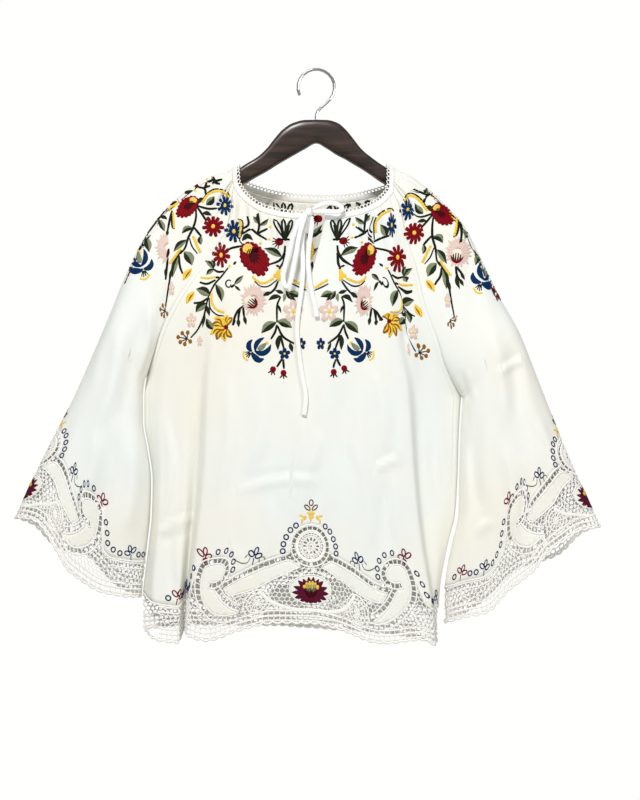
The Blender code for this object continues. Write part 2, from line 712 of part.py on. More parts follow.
def makeTie(name, material):
    route = smoothRoute(tieRoutes[name], tieSpacing[name])
    along = np.gradient(route, axis=0)
    along /= np.linalg.norm(along, axis=1, keepdims=True)
    wide = np.cross(along, (0.0, 1.0, 0.0))
    wide /= np.linalg.norm(wide, axis=1, keepdims=True)
    thick = np.cross(wide, along)
    run = lengthsAlong(route)
    fromKnot = np.minimum(run, run[-1] - run) if name.endswith("loop") else run
    wide *= (tieWidth / 2 * (0.5 + 0.5 * smoothStep(fromKnot / 12)))[:, None]
    corners = [(-1, -1), (1, -1), (1, 1), (-1, 1)]
    points = np.concatenate([route + wide * a + thick * (b * tieThick / 2) for a, b in corners])
    count = len(route)
    faces = [[side * count for side in range(4)], [(3 - side) * count + count - 1 for side in range(4)]]
    for side in range(4):
        one, two = side * count, (side + 1) % 4 * count
        faces += [(one + i, one + i + 1, two + i + 1, two + i) for i in range(count - 1)]
    return makeObject(name, points, faceOut(points, faces), material)


def faceOut(points, faces):
    # Turns every face round where the shape came out inside out
    volume = 0.0
    for face in faces:
        for b, c in zip(face[1:-1], face[2:]):
            volume += np.dot(points[face[0]], np.cross(points[b], points[c]))
    return [tuple(reversed(face)) for face in faces] if volume < 0 else faces


def makeKnot(material):
    rings, sides = 6, 10
    points = [(0, 0, 1)]
    for i in range(1, rings):
        tilt = math.pi * i / rings
        for j in range(sides):
            turn = 2 * math.pi * j / sides
            points.append((math.sin(tilt) * math.cos(turn), math.sin(tilt) * math.sin(turn), math.cos(tilt)))
    points.append((0, 0, -1))
    faces = [(0, 1 + j, 1 + (j + 1) % sides) for j in range(sides)]
    for i in range(rings - 2):
        for j in range(sides):
            a, b = 1 + i * sides + j, 1 + i * sides + (j + 1) % sides
            faces.append((a, a + sides, b + sides, b))
    last = len(points) - 1
    faces += [(last, last - sides + (j + 1) % sides, last - sides + j) for j in range(sides)]
    points = np.array(points) * knotHalf + knotCentre
    return makeObject("tie_knot", points, faceOut(points, faces), material)


# Hanger


def makeBar(material):
    points, faces = [], []
    for x, top, bottom, half in barSections:
        for j in range(barSides):
            turn = 2 * math.pi * (j + 0.5) / barSides
            height = (top + bottom) / 2 + (top - bottom) / 2 * math.sin(turn) / math.cos(math.pi / barSides)
            points.append((x, half * math.cos(turn), height))
    for i in range(len(barSections) - 1):
        for j in range(barSides):
            a, b = i * barSides + j, i * barSides + (j + 1) % barSides
            faces.append((a, b, b + barSides, a + barSides))
    faces.append(tuple(range(barSides - 1, -1, -1)))
    faces.append(tuple(len(points) - barSides + j for j in range(barSides)))
    points = np.array(points, float)
    return makeObject("hanger_bar", points, faceOut(points, faces), material)


def makeHook(material):
    radius = hookInner + hookWire / 2
    turns = [math.radians(a) for a in np.linspace(*hookSweep, 15)]
    route = [(radius * math.cos(a), 0, -hookInner + radius * math.sin(a)) for a in turns]
    route += [(x, 0, z) for x, z in hookStem]
    curve = bpy.data.curves.new("hanger_hook", "CURVE")
    curve.dimensions = "3D"
    spline = curve.splines.new("POLY")
    spline.points.add(len(route) - 1)
    for point, place in zip(spline.points, route):
        point.co = (place[0] * metre, place[1] * metre, place[2] * metre, 1)
    curve.bevel_depth = hookWire / 2 * metre
    curve.bevel_resolution = 2
    curve.use_fill_caps = True
    curve.materials.append(material)
    made = bpy.data.objects.new("hanger_hook", curve)
    bpy.context.scene.collection.objects.link(made)
    return made


def makeMaterial(name, colour, rough, metal=0.0):
    material = bpy.data.materials.new(name)
    material.use_nodes = True
    shader = material.node_tree.nodes["Principled BSDF"]
    shader.inputs["Base Color"].default_value = (*colour, 1)
    shader.inputs["Roughness"].default_value = rough
    shader.inputs["Metallic"].default_value = metal
    material.diffuse_color = (*colour, 1)
    return material


def main():
    for old in list(bpy.data.objects):
        bpy.data.objects.remove(old, do_unlink=True)
    cotton = (0.90, 0.89, 0.86)
    makeFront(makeMaterial("front cotton", cotton, 0.85))
    makeBack(makeMaterial("back cotton", cotton, 0.85))
    makeSleeve("left", makeMaterial("left sleeve cotton", cotton, 0.85))
    makeSleeve("right", makeMaterial("right sleeve cotton", cotton, 0.85))
    thread = (0.86, 0.85, 0.81)
    makeLace(
        "hem_lace_front", frontAt, (0, 1), slitMiddle, (0, 1), frontCoarse,
        lambda points: keepApart(points, -1, 1), makeMaterial("front hem lace", thread, 0.8))
    makeLace(
        "hem_lace_back", backAt, (0, 1), 0.5, (0, 1), backCoarse,
        lambda points: keepApart(points, 1, 1), makeMaterial("back hem lace", thread, 0.8), turned=True)
    for hand in ("left", "right"):
        for half in ("front", "back"):
            makeCuffLace(hand, half, makeMaterial(hand + " cuff lace " + half, thread, 0.8))
    makeNeckStrip(
        "neck_binding", bindingLow, bindingWidth, bindingWall, makeMaterial("binding cotton", cotton, 0.8))
    makeNeckStrip(
        "neck_edging", bindingWidth + seamGap, bindingWidth + edgingWidth, laceWall,
        makeMaterial("picot thread", thread, 0.8))
    makeKnot(makeMaterial("knot cotton", cotton, 0.8))
    for name in tieRoutes:
        makeTie(name, makeMaterial(name + " cotton", cotton, 0.8))
    makeBar(makeMaterial("stained wood", (0.045, 0.022, 0.014), 0.35))
    makeHook(makeMaterial("polished steel", (0.6, 0.6, 0.62), 0.25, 1.0))


main()
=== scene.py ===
# Peasant blouse on a wooden hanger: surfaces, stitching, lace, light and camera.
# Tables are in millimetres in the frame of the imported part: +Z up, the front faces -Y, left and
# right as seen from the front. Pixel tables are places in the photograph's 640 x 800 frame.
import math

import bpy
import bmesh
import numpy as np
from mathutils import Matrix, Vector
from mathutils.bvhtree import BVHTree
from mathutils.geometry import delaunay_2d_cdt


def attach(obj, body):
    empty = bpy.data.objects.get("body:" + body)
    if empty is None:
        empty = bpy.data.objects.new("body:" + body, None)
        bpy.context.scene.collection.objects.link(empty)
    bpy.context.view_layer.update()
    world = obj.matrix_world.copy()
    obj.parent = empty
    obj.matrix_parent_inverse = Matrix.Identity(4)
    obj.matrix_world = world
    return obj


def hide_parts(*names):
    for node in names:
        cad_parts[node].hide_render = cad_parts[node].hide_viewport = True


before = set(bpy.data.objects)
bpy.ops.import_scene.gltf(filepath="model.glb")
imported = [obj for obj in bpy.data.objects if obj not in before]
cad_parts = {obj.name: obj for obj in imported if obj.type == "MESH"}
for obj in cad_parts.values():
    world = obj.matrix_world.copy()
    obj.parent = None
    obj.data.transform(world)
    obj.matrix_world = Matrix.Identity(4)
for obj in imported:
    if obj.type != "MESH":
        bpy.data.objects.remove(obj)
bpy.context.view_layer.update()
metre = 0.001  # one millimetre in metres
scene = bpy.context.scene

# Camera: where the photograph was taken from, found from the hanger's length and the hem
shot = {"lens": 85, "longSide": 36, "x": 0.005, "y": -2.478, "z": -0.432, "plane": -0.022,
        "pixel": 1.30, "pixelX": 316, "pixelZ": 68}

cameraData = bpy.data.cameras.new("camera")
cameraData.lens = shot["lens"]
cameraData.sensor_width = shot["longSide"]
cameraData.sensor_height = shot["longSide"]
cameraData.clip_end = 20
camera = bpy.data.objects.new("camera", cameraData)
camera.location = (shot["x"], shot["y"], shot["z"])
camera.rotation_euler = (math.radians(90), 0, 0)
scene.collection.objects.link(camera)
scene.camera = camera

# Sizes of the blouse, the same as in the solids
neckMiddle, neckHalf = -4.0, 106.0
# Shares of a panel's length, neck 0 to hem 1
bodyArmpit = 0.46
sleeveArmpit = 0.488
slitEnd = 0.17
slitMiddle, slitHalf = 0.523, 0.055  # shares of the front's width

# Raglan seam from neck to armpit: share, x, y at the front, z
raglanLeft = (
    (0.00, -108, -23, -155),
    (0.13, -112, -25, -190),
    (0.23, -120, -25, -217),
    (0.33, -135, -25, -238),
    (0.45, -156, -26, -265),
    (0.60, -179, -26, -298),
    (0.76, -201, -22, -339),
    (0.90, -213, -11, -373),
    (1.00, -222, 0, -400),
)
raglanRight = (
    (0.00, 101, -23, -162),
    (0.10, 110, -25, -185),
    (0.22, 117, -25, -219),
    (0.36, 130, -25, -257),
    (0.53, 141, -26, -305),
    (0.71, 158, -24, -354),
    (0.83, 168, -18, -386),
    (0.93, 181, -8, -412),
    (1.00, 190, 0, -427),
)
backLift = 8.0  # the back seam starts this much higher at the neck

# Side seam from armpit to hem: share, x, z
sideLeft = (
    (0.00, -222, -400),
    (0.09, -225, -428),
    (0.18, -225, -459),
    (0.30, -219, -497),
    (0.41, -214, -536),
    (0.54, -215, -581),
    (0.66, -219, -620),
    (0.78, -224, -659),
    (0.88, -227, -692),
    (1.00, -226, -732),
)
sideRight = (
    (0.00, 190, -427),
    (0.15, 187, -472),
    (0.34, 185, -536),
    (0.48, 182, -581),
    (0.59, 174, -614),
    (0.68, 168, -642),
    (0.80, 162, -680),
    (1.00, 159, -750),
)

# Shoulder ridge and outer fold of a sleeve from neck to cuff: share, x, z
outlineLeft = (
    (0.000, -110, -130),
    (0.065, -144, -142),
    (0.150, -183, -168),
    (0.240, -216, -205),
    (0.340, -242, -252),
    (0.490, -274, -329),
    (0.700, -322, -438),
    (0.850, -359, -510),
    (1.000, -395, -587),
)
outlineRight = (
    (0.000, 102, -129),
    (0.045, 122, -138),
    (0.106, 151, -159),
    (0.164, 174, -181),
    (0.220, 194, -204),
    (0.285, 211, -237),
    (0.416, 243, -302),
    (0.500, 265, -341),
    (0.620, 291, -406),
    (0.790, 324, -490),
    (0.930, 357, -564),
    (1.000, 373, -598),
)
# Underarm seam of a sleeve from armpit to cuff: share, x, z
underarmLeft = (
    (0.00, -225, -401),
    (0.09, -228, -428),
    (0.20, -228, -459),
    (0.33, -222, -497),
    (0.46, -217, -536),
    (0.62, -218, -581),
    (0.75, -222, -620),
    (0.89, -227, -659),
    (1.00, -230, -690),
)
underarmRight = (
    (0.00, 193, -428),
    (0.16, 190, -472),
    (0.37, 188, -536),
    (0.53, 187, -581),
    (0.64, 180, -614),
    (0.74, 174, -642),
    (0.86, 169, -679),
    (1.00, 168, -724),
)
# Half the depth of a sleeve: share of its length, depth
sleeveDepth = ((0.00, 23), (0.10, 24), (0.25, 27), (0.40, 33), (0.49, 37), (0.75, 37), (1.00, 33))
# How a cuff's edge waves: share from the underarm to the outer fold, rise
cuffWave = {
    ("left", "front"): (
        (0, 0), (0.15, -12), (0.37, -24), (0.55, -20), (0.64, -4), (0.8, 16), (0.92, 9), (1, 0)),
    ("left", "back"): ((0, 0), (0.2, -9), (0.45, 4), (0.7, -8), (0.88, 3), (1, 0)),
    ("right", "front"): (
        (0, 0), (0.12, -6), (0.28, -17), (0.4, -6), (0.55, 0), (0.65, 13), (0.82, 15), (0.93, 7), (1, 0)),
    ("right", "back"): ((0, 0), (0.2, -8), (0.5, 5), (0.75, -7), (0.9, 3), (1, 0)),
}

# Lines that run down the front from neck to hem: share of the width, then share of length, x, y
frontLines = {
    "left crest": (0.07, (
        (0.00, -99, -28), (0.10, -106, -30), (0.24, -149, -33), (0.46, -195, -21),
        (0.64, -199, -23), (0.78, -203, -25), (0.93, -209, -26), (1.00, -208, -27))),
    "left lip": (0.135, (
        (0.00, -89, -33), (0.10, -92, -36), (0.24, -127, -39), (0.46, -164, -30),
        (0.64, -170, -26), (0.78, -174, -25), (0.93, -179, -25), (1.00, -180, -26))),
    "valley": (0.17, (
        (0.00, -83, -35), (0.10, -85, -38), (0.24, -116, -41), (0.46, -150, -27),
        (0.64, -157, -17), (0.78, -163, -10), (0.93, -171, -3), (1.00, -173, 0))),
    "main lip": (0.21, (
        (0.00, -76, -37), (0.10, -77, -40), (0.24, -105, -44), (0.46, -138, -38),
        (0.64, -143, -38), (0.78, -152, -38), (0.93, -162, -39), (1.00, -166, -40))),
    "left middle": (0.36, (
        (0.00, -43, -43), (0.10, -42, -46), (0.24, -61, -49), (0.46, -78, -48),
        (0.64, -82, -47), (0.78, -86, -46), (0.93, -90, -45), (1.00, -91, -44))),
    "middle": (0.523, (
        (0.00, -2, -48), (0.10, -4, -50), (0.24, -6, -52), (0.46, -5, -51),
        (0.64, -5, -50), (0.78, -5, -49), (0.93, -5, -47), (1.00, -5, -46))),
    "right middle": (0.69, (
        (0.00, 39, -44), (0.10, 43, -47), (0.24, 48, -49), (0.46, 58, -48),
        (0.64, 61, -47), (0.78, 64, -46), (0.93, 68, -45), (1.00, 70, -44))),
    "right fold": (0.85, (
        (0.00, 76, -36), (0.10, 83, -40), (0.24, 97, -43), (0.46, 117, -41),
        (0.64, 125, -40), (0.78, 134, -40), (0.93, 149, -41), (1.00, 153, -42))),
    "right dip": (0.89, (
        (0.00, 84, -33), (0.10, 93, -37), (0.24, 107, -38), (0.46, 129, -24),
        (0.64, 134, -19), (0.78, 142, -17), (0.93, 153, -18), (1.00, 155, -22))),
    "right strip": (0.945, (
        (0.00, 93, -28), (0.10, 105, -31), (0.24, 124, -31), (0.46, 159, -14),
        (0.64, 161, -11), (0.78, 161, -10), (0.93, 157, -9), (1.00, 157, -9))),
}
frontDip = ((0.0, -41), (0.1, -24), (0.2, -12), (0.3, -4), (0.46, 0), (1.0, 0))  # share of length, drop
frontHem = (  # share of the width, rise of the hem
    (0.0, 0), (0.07, -10), (0.135, -13), (0.17, 2), (0.21, -1), (0.27, -6), (0.34, 8), (0.43, 20),
    (0.523, 21), (0.6, 15), (0.72, -1), (0.8, 5), (0.85, -2), (0.945, 2), (1.0, 0))

backDepth = ((0.0, 38), (0.2, 43), (0.46, 40), (0.75, 37), (1.0, 36))  # share of length, y at the middle
backDip = ((0.0, -20), (0.1, -11), (0.2, -5), (0.3, 0), (1.0, 0))
# Soft folds of the back: share of the width, half width, depth at the hem
backFolds = ((0.13, 0.045, 9), (0.31, 0.05, -7), (0.47, 0.04, 8), (0.66, 0.05, -8), (0.85, 0.045, 9))

# Gathers at the neck: share of length, height of the ruffles
gatherHeight = (
    (0.0, 0.5), (0.012, 1.3), (0.03, 2.1), (0.055, 1.8), (0.085, 1.1), (0.12, 0.5), (0.17, 0), (1, 0))
frontGathers, backGathers, sleeveGathers = 14, 12, 4

# Wooden bar: x, z of its top edge, z of its bottom edge, half depth
barSections = (
    (-200, -198, -201, 5), (-198, -193, -204, 9), (-192, -185, -203, 12), (-183, -174, -195, 13),
    (-164, -158.5, -181, 13), (-144, -146.5, -170, 13), (-122, -136, -161, 13), (-104, -130.5, -152, 13),
    (-92, -123, -147, 13), (-78, -114.5, -139, 12), (-65, -103, -132, 12), (-54, -89, -125, 12),
    (-44, -78, -119, 12), (-30, -69, -111, 12), (-14, -65.2, -102, 12), (0, -65, -95, 12),
    (14, -65.2, -102, 12), (28, -69, -111, 12), (38, -77, -116, 12), (48, -89, -122, 12),
    (60, -104, -129, 12), (72, -114, -137, 12), (85, -123.5, -146, 13), (98, -131, -153, 13),
    (122, -141.2, -165, 13), (151, -164, -186, 13), (174, -187, -206, 13), (183, -198, -212, 12),
    (189, -207, -216, 9), (191, -210.5, -213, 5))
# Ties from the knot outwards: x, y, z along each one
tieRoutes = {
    "tie_left_loop": (
        (-13, -51.8, -190.5), (-17, -53.8, -196.5), (-24, -57.5, -208), (-31, -60.5, -229),
        (-38, -60.5, -254), (-42, -60, -272), (-41, -60, -283), (-37, -61, -287), (-33, -62, -281),
        (-30, -63, -266), (-26, -64, -246), (-22, -64, -224), (-18, -61, -207), (-14.5, -57.2, -198),
        (-12.3, -54.7, -192)),
    "tie_right_loop": (
        (-5.5, -51.3, -188), (3, -53.5, -182.5), (13, -54.2, -179.5), (24, -53.2, -180), (32, -51.8, -183.5),
        (33, -52, -188), (26, -54.6, -190.5), (14, -56, -190), (4, -55.8, -190), (-5, -53.7, -190.5)),
    "tie_long_end": (
        (-12, -48.2, -195.9), (-13, -50.5, -203), (-15.5, -54, -212), (-18, -56.5, -229), (-17, -57.5, -252),
        (-17, -57, -271), (-19, -56.5, -292), (-22, -56, -312), (-24, -55.5, -330), (-24.5, -55, -345),
        (-23, -55, -362), (-21, -55, -380), (-18, -55, -400), (-14, -55, -420), (-13.5, -55, -436),
        (-16, -55, -452)),
    "tie_short_end": (
        (-5.4, -48.4, -196.2), (-5.2, -50.5, -203), (-6, -53.5, -212), (-8, -56.5, -226), (-10, -57.5, -245),
        (-10, -57.5, -262), (-8, -57, -279), (-5, -56, -296), (-1, -56, -312), (1, -56, -326)),
}

# Curves through short tables


def smoothTangents(step, values):
    # Slopes of a curve that never overshoots its points
    slope = np.diff(values, axis=-1) / step
    first, second = slope[..., :-1], slope[..., 1:]
    turns = first * second > 0
    safeFirst, safeSecond = np.where(turns, first, 1.0), np.where(turns, second, 1.0)
    before, after = 2 * step[1:] + step[:-1], step[1:] + 2 * step[:-1]
    inner = np.where(turns, (before + after) / (before / safeFirst + after / safeSecond), 0.0)
    return np.concatenate([slope[..., :1], inner, slope[..., -1:]], axis=-1)


def smoothAcross(knots, values, at):
    # values holds one row of knot values for each entry of at
    knots = np.asarray(knots, float)
    step = np.diff(knots)
    tangents = smoothTangents(step, values)
    at = np.clip(at, knots[0], knots[-1])
    i = np.clip(np.searchsorted(knots, at, side="right") - 1, 0, len(step) - 1)
    pick = np.arange(len(at))
    h = step[i]
    t = (at - knots[i]) / h
    start, end = values[pick, i], values[pick, i + 1]
    leave, arrive = tangents[pick, i] * h, tangents[pick, i + 1] * h
    return (
        start * (2 * t**3 - 3 * t**2 + 1)
        + leave * (t**3 - 2 * t**2 + t)
        + end * (3 * t**2 - 2 * t**3)
        + arrive * (t**3 - t**2)
    )


def column(table, index, at):
    # One column of a table, read smoothly at the given keys
    rows = np.asarray(table, float)
    at = np.atleast_1d(np.asarray(at, float))
    values = np.broadcast_to(rows[:, index], (len(at), len(rows)))
    return smoothAcross(rows[:, 0], values, at)


def smoothStep(t):
    t = np.clip(t, 0, 1)
    return t * t * (3 - 2 * t)


# Surfaces of the four panels: shares of width and length to points in millimetres


def bodyEdge(raglan, side, v):
    share, below = v / bodyArmpit, (v - bodyArmpit) / (1 - bodyArmpit)
    upper = np.stack([column(raglan, i, share) for i in (1, 2, 3)], 1)
    lower = np.stack([column(side, 1, below), np.zeros(len(v)), column(side, 2, below)], 1)
    return np.where((v <= bodyArmpit)[:, None], upper, lower)


def gathers(count, across, v):
    uneven = count * across + 0.25 * np.sin(2 * math.pi * (2.3 * across + 0.2))
    return column(gatherHeight, 1, v) * np.sin(2 * math.pi * uneven)


def frontAt(u, v):
    u, v = np.asarray(u, float), np.asarray(v, float)
    left, right = bodyEdge(raglanLeft, sideLeft, v), bodyEdge(raglanRight, sideRight, v)
    knots = [0.0] + [place for place, _ in frontLines.values()] + [1.0]
    xs = np.stack([left[:, 0]] + [column(line, 1, v) for _, line in frontLines.values()] + [right[:, 0]], 1)
    ys = np.stack([left[:, 1]] + [column(line, 2, v) for _, line in frontLines.values()] + [right[:, 1]], 1)
    bow = 1 - np.abs(2 * u - 1) ** 2.5
    hem = column(frontHem, 1, u) * smoothStep((v - 0.72) / 0.28)
    z = left[:, 2] * (1 - u) + right[:, 2] * u + column(frontDip, 1, v) * bow + hem
    inset = smoothStep(20 * u) * smoothStep(20 * (1 - u))
    y = smoothAcross(knots, ys, u) - gathers(frontGathers, u, v) * inset
    return np.stack([smoothAcross(knots, xs, u), y, z], 1)


def backAt(u, v):
    u, v = np.asarray(u, float), np.asarray(v, float)
    left, right = bodyEdge(raglanLeft, sideLeft, v), bodyEdge(raglanRight, sideRight, v)
    lift = backLift * np.clip(1 - v / bodyArmpit, 0, 1) ** 3
    edge = -(left[:, 1] * (1 - u) + right[:, 1] * u)
    bulge = 1 - np.abs(2 * u - 1) ** 3
    y = edge + (column(backDepth, 1, v) - edge) * bulge
    for place, half, depth in backFolds:
        y = y + depth * smoothStep((v - 0.25) / 0.5) * np.exp(-(((u - place) / half) ** 2))
    y = y + gathers(backGathers, u, v) * smoothStep(20 * u) * smoothStep(20 * (1 - u))
    bow = 1 - np.abs(2 * u - 1) ** 2.5
    hem = 8 * bow * smoothStep((v - 0.6) / 0.4)
    x = left[:, 0] * (1 - u) + right[:, 0] * u
    z = left[:, 2] * (1 - u) + right[:, 2] * u + lift + column(backDip, 1, v) * bow + hem
    return np.stack([x, y, z], 1)


sleeveTables = {
    "left": (raglanLeft, underarmLeft, outlineLeft),
    "right": (raglanRight, underarmRight, outlineRight),
}


def sleeveAt(hand, r, v):
    # r runs round the sleeve: 0 at the front of the inner seam, 1 at the outer fold, 2 at the back
    r, v = np.asarray(r, float), np.asarray(v, float)
    raglan, underarm, outline = sleeveTables[hand]
    atFront = r <= 1
    s = np.where(atFront, r, 2 - r)
    share, below = v / sleeveArmpit, (v - sleeveArmpit) / (1 - sleeveArmpit)
    above = v < sleeveArmpit
    innerX = np.where(above, column(raglan, 1, share), column(underarm, 1, below))
    innerZ = np.where(above, column(raglan, 3, share), column(underarm, 2, below))
    innerY = np.where(above, -column(raglan, 2, share), 0)
    lift = np.where(atFront, 0, backLift * np.clip(1 - share, 0, 1) ** 3)
    outerX, outerZ = column(outline, 1, v), column(outline, 2, v)
    depth = column(sleeveDepth, 1, v)
    outerTurn = np.sqrt(np.clip(1 - s**4, 0, 1))
    innerTurn = np.sqrt(np.clip(1 - (1 - s) ** 4, 0, 1))
    y = outerTurn * (innerY + np.maximum(depth - innerY, 0) * innerTurn)
    y = y + gathers(sleeveGathers, s, v) * outerTurn
    flute = 5 * np.sin(2 * math.pi * (1.7 * s + np.where(atFront, 0.1, 0.55))) * 4 * s * (1 - s)
    y = y + flute * smoothStep((v - 0.6) / 0.4)
    wave = np.where(atFront, column(cuffWave[hand, "front"], 1, s), column(cuffWave[hand, "back"], 1, s))
    x = innerX + (outerX - innerX) * s
    z = innerZ + lift * (1 - s) + (outerZ - innerZ) * s + wave * smoothStep((v - 0.72) / 0.28)
    return np.stack([x, np.where(atFront, -y, y), z], 1)


# Measures along lines


def lengthsAlong(points):
    return np.concatenate([[0], np.cumsum(np.linalg.norm(np.diff(points, axis=0), axis=1))])


def readLine(at, run, line):
    # Places on a line, at the given lengths along it
    return np.stack([np.interp(at, run, line[:, k]) for k in range(line.shape[1])], 1)


def unit(vectors):
    return vectors / np.maximum(np.linalg.norm(vectors, axis=-1, keepdims=True), 1e-9)


def curveThrough(points, steps):
    # Close points on a smooth curve through the given ones, and the length up to each
    points = np.asarray(points, float)
    padded = np.concatenate([[2 * points[0] - points[1]], points, [2 * points[-1] - points[-2]]])
    fine = []
    for a, b, c, d in zip(padded, padded[1:], padded[2:], padded[3:]):
        for t in np.linspace(0, 1, steps, endpoint=False):
            fine.append(0.5 * (2 * b + (c - a) * t + (2 * a - 5 * b + 4 * c - d) * t**2
                               + (3 * b - a - 3 * c + d) * t**3))
    fine = np.array(fine + [points[-1]])
    return fine, lengthsAlong(fine)


def tubeFaces(rings, sides):
    # The walls and both ends of a closed tube whose points run ring by ring
    faces = []
    for i in range(rings - 1):
        for k in range(sides):
            a, b = i * sides + k, i * sides + (k + 1) % sides
            faces.append((a, b, b + sides, a + sides))
    last = (rings - 1) * sides
    return faces + [tuple(range(sides - 1, -1, -1)), tuple(last + k for k in range(sides))]


# Finer shape of the cloth, on the same surfaces as the solids

# Creases: where each one starts and ends in photograph pixels, depth and half width in mm
frontCreases = (
    (241, 490, 320, 480, 2.6, 5), (375, 470, 402, 457, 3.2, 4.5), (262, 395, 250, 470, 2.2, 10),
    (300, 400, 296, 520, 2.4, 12), (345, 385, 352, 480, -2.4, 12), (228, 380, 216, 500, 2.8, 9),
    (372, 370, 384, 450, 2.4, 8), (330, 500, 338, 590, -2.2, 10), (270, 500, 262, 560, 1.8, 9),
    (440, 430, 447, 520, 2.8, 4), (432, 440, 441, 500, -2.2, 4), (166, 420, 162, 520, 2.6, 5),
    (172, 520, 176, 600, -2.2, 6), (157, 532, 196, 518, 3.2, 3.6), (156, 540, 190, 530, -2.2, 3.6),
    (212, 300, 200, 380, 2.8, 6), (405, 320, 408, 380, -2.6, 6), (240, 560, 232, 545, 1.6, 5),
    (352, 440, 366, 560, 2.2, 9), (318, 430, 312, 470, 1.6, 8), (385, 480, 396, 560, -2.4, 8))
leftSleeveCreases = (
    (149, 519, 185, 516, -2.4, 4), (149, 380, 158, 414, 3.6, 3.2), (154, 372, 149, 398, -3.0, 3.2),
    (160, 396, 150, 410, 3.0, 2.8), (120, 330, 96, 430, 3.4, 10), (142, 320, 128, 440, -3.2, 11),
    (108, 300, 80, 390, -2.6, 9), (98, 430, 82, 500, 3.4, 10), (132, 440, 122, 540, 3.6, 10),
    (70, 420, 52, 470, -2.6, 8), (160, 240, 150, 330, 2.6, 8), (110, 480, 100, 560, -2.8, 8),
    (148, 300, 140, 380, 2.6, 6))
rightSleeveCreases = (
    (497, 375, 528, 359, 3.0, 4.5), (475, 533, 493, 521, 3.0, 4.5), (452, 392, 462, 430, 3.2, 4),
    (462, 372, 470, 402, -2.8, 4), (485, 320, 502, 430, 3.4, 10), (512, 350, 532, 450, -3.2, 10),
    (478, 420, 482, 520, -3.2, 9), (500, 440, 512, 540, 3.6, 9), (538, 420, 556, 480, 2.8, 8),
    (460, 440, 458, 540, 2.8, 7), (470, 250, 480, 320, -2.4, 8), (525, 470, 532, 540, -2.6, 8),
    (448, 410, 452, 470, 2.4, 4))
backCreases = (
    (241, 470, 318, 462, 2.8, 5), (362, 500, 398, 492, 3.0, 5), (262, 380, 250, 470, 2.8, 10),
    (300, 410, 292, 540, -2.6, 11), (345, 385, 352, 500, 2.8, 11), (220, 380, 206, 520, -2.6, 9),
    (378, 370, 392, 470, 2.6, 8), (330, 500, 338, 600, 2.4, 10), (178, 400, 172, 520, 2.8, 7),
    (428, 420, 436, 540, -2.4, 6), (212, 300, 200, 380, 2.8, 6), (405, 320, 408, 380, -2.8, 6))


def fromPixel(px, py):
    # A pixel of the photograph to x and z on the plane of the object, in millimetres
    return (px - shot["pixelX"]) * shot["pixel"], -(py - shot["pixelZ"]) * shot["pixel"]


def creaseAt(points, creases):
    # How far the cloth stands out of its smooth surface, towards whoever looks at it
    out = np.zeros(len(points))
    for x0, y0, x1, y1, depth, half in creases:
        start, end = np.array(fromPixel(x0, y0)), np.array(fromPixel(x1, y1))
        along = end - start
        size = np.linalg.norm(along)
        along = along / size
        rel = points[:, (0, 2)] - start
        t = rel @ along / size
        bend = 0.06 * size * np.sin(math.pi * np.clip(t, 0, 1)) * (1 if depth > 0 else -1)
        off = rel @ np.array([-along[1], along[0]]) - bend
        fade = smoothStep((t + 0.12) / 0.4) * smoothStep((1.12 - t) / 0.4)
        ridge = np.exp(-((off / half) ** 2)) - 0.45 * np.exp(-(((off - 1.9 * half) / half) ** 2))
        out += depth * fade * ridge
    return out


neckPleats = {"body": 27, "sleeve": 11, "height": 1.15, "reach": 0.085}  # reach is a share of the length


def pleats(count, across, v):
    # Fine uneven pleats where the cloth is gathered into the neck's strip
    phase = count * across + 0.45 * np.sin(2 * math.pi * (3.3 * across + 0.1))
    phase = phase + 0.3 * np.sin(17 * across + 14 * v)
    strong = 0.65 + 0.35 * np.sin(2 * math.pi * (2.1 * across + 0.3))
    high = neckPleats["height"] * np.exp(-((v / neckPleats["reach"]) ** 2))
    return (high * smoothStep(v / 0.01 + 0.4) * strong
            * (1 - 2 * np.abs(np.sin(math.pi * phase)) ** 0.7))


def frontDense(u, v):
    u, v = np.asarray(u, float), np.asarray(v, float)
    points = frontAt(u, v)
    points[:, 1] -= pleats(neckPleats["body"], u, v) * smoothStep(14 * u) * smoothStep(14 * (1 - u))
    inset = smoothStep(12 * u) * smoothStep(12 * (1 - u))
    points[:, 1] -= creaseAt(points, frontCreases) * inset
    return points


def backDense(u, v):
    u, v = np.asarray(u, float), np.asarray(v, float)
    points = backAt(u, v)
    points[:, 1] += pleats(neckPleats["body"], u, v) * smoothStep(14 * u) * smoothStep(14 * (1 - u))
    inset = smoothStep(12 * u) * smoothStep(12 * (1 - u))
    points[:, 1] += creaseAt(points, backCreases) * inset
    return points


def sleeveDense(hand):
    creases = leftSleeveCreases if hand == "left" else rightSleeveCreases

    def surface(r, v):
        r, v = np.asarray(r, float), np.asarray(v, float)
        points = sleeveAt(hand, r, v)
        s = np.where(r <= 1, r, 2 - r)
        inset = smoothStep(8 * s) * smoothStep(8 * (1 - s))
        sign = np.where(r <= 1, -1.0, 1.0)
        points[:, 1] += sign * pleats(neckPleats["sleeve"], s, v) * inset
        points[:, 1] += sign * creaseAt(points, creases) * inset
        return points

    return surface


def neckRise(points):
    # The way the binding stands up from the panels: upright in front, leaning inwards at the sides
    lean = 0.1 + 0.5 * (np.abs(points[:, 0] - neckMiddle) / neckHalf) ** 2
    inwards = np.stack([neckMiddle - points[:, 0], -points[:, 1]], 1)
    inwards /= np.linalg.norm(inwards, axis=1, keepdims=True)
    rise = np.concatenate([inwards * lean[:, None], 1 - lean[:, None]], 1)
    return rise / np.linalg.norm(rise, axis=1, keepdims=True)


def smoothRoute(points, spacing):
    # Points at even spacing on a smooth curve through the route's own points
    fine, run = curveThrough(points, 12)
    return readLine(np.linspace(0, run[-1], max(3, round(run[-1] / spacing)) + 1), run, fine)


# Materials


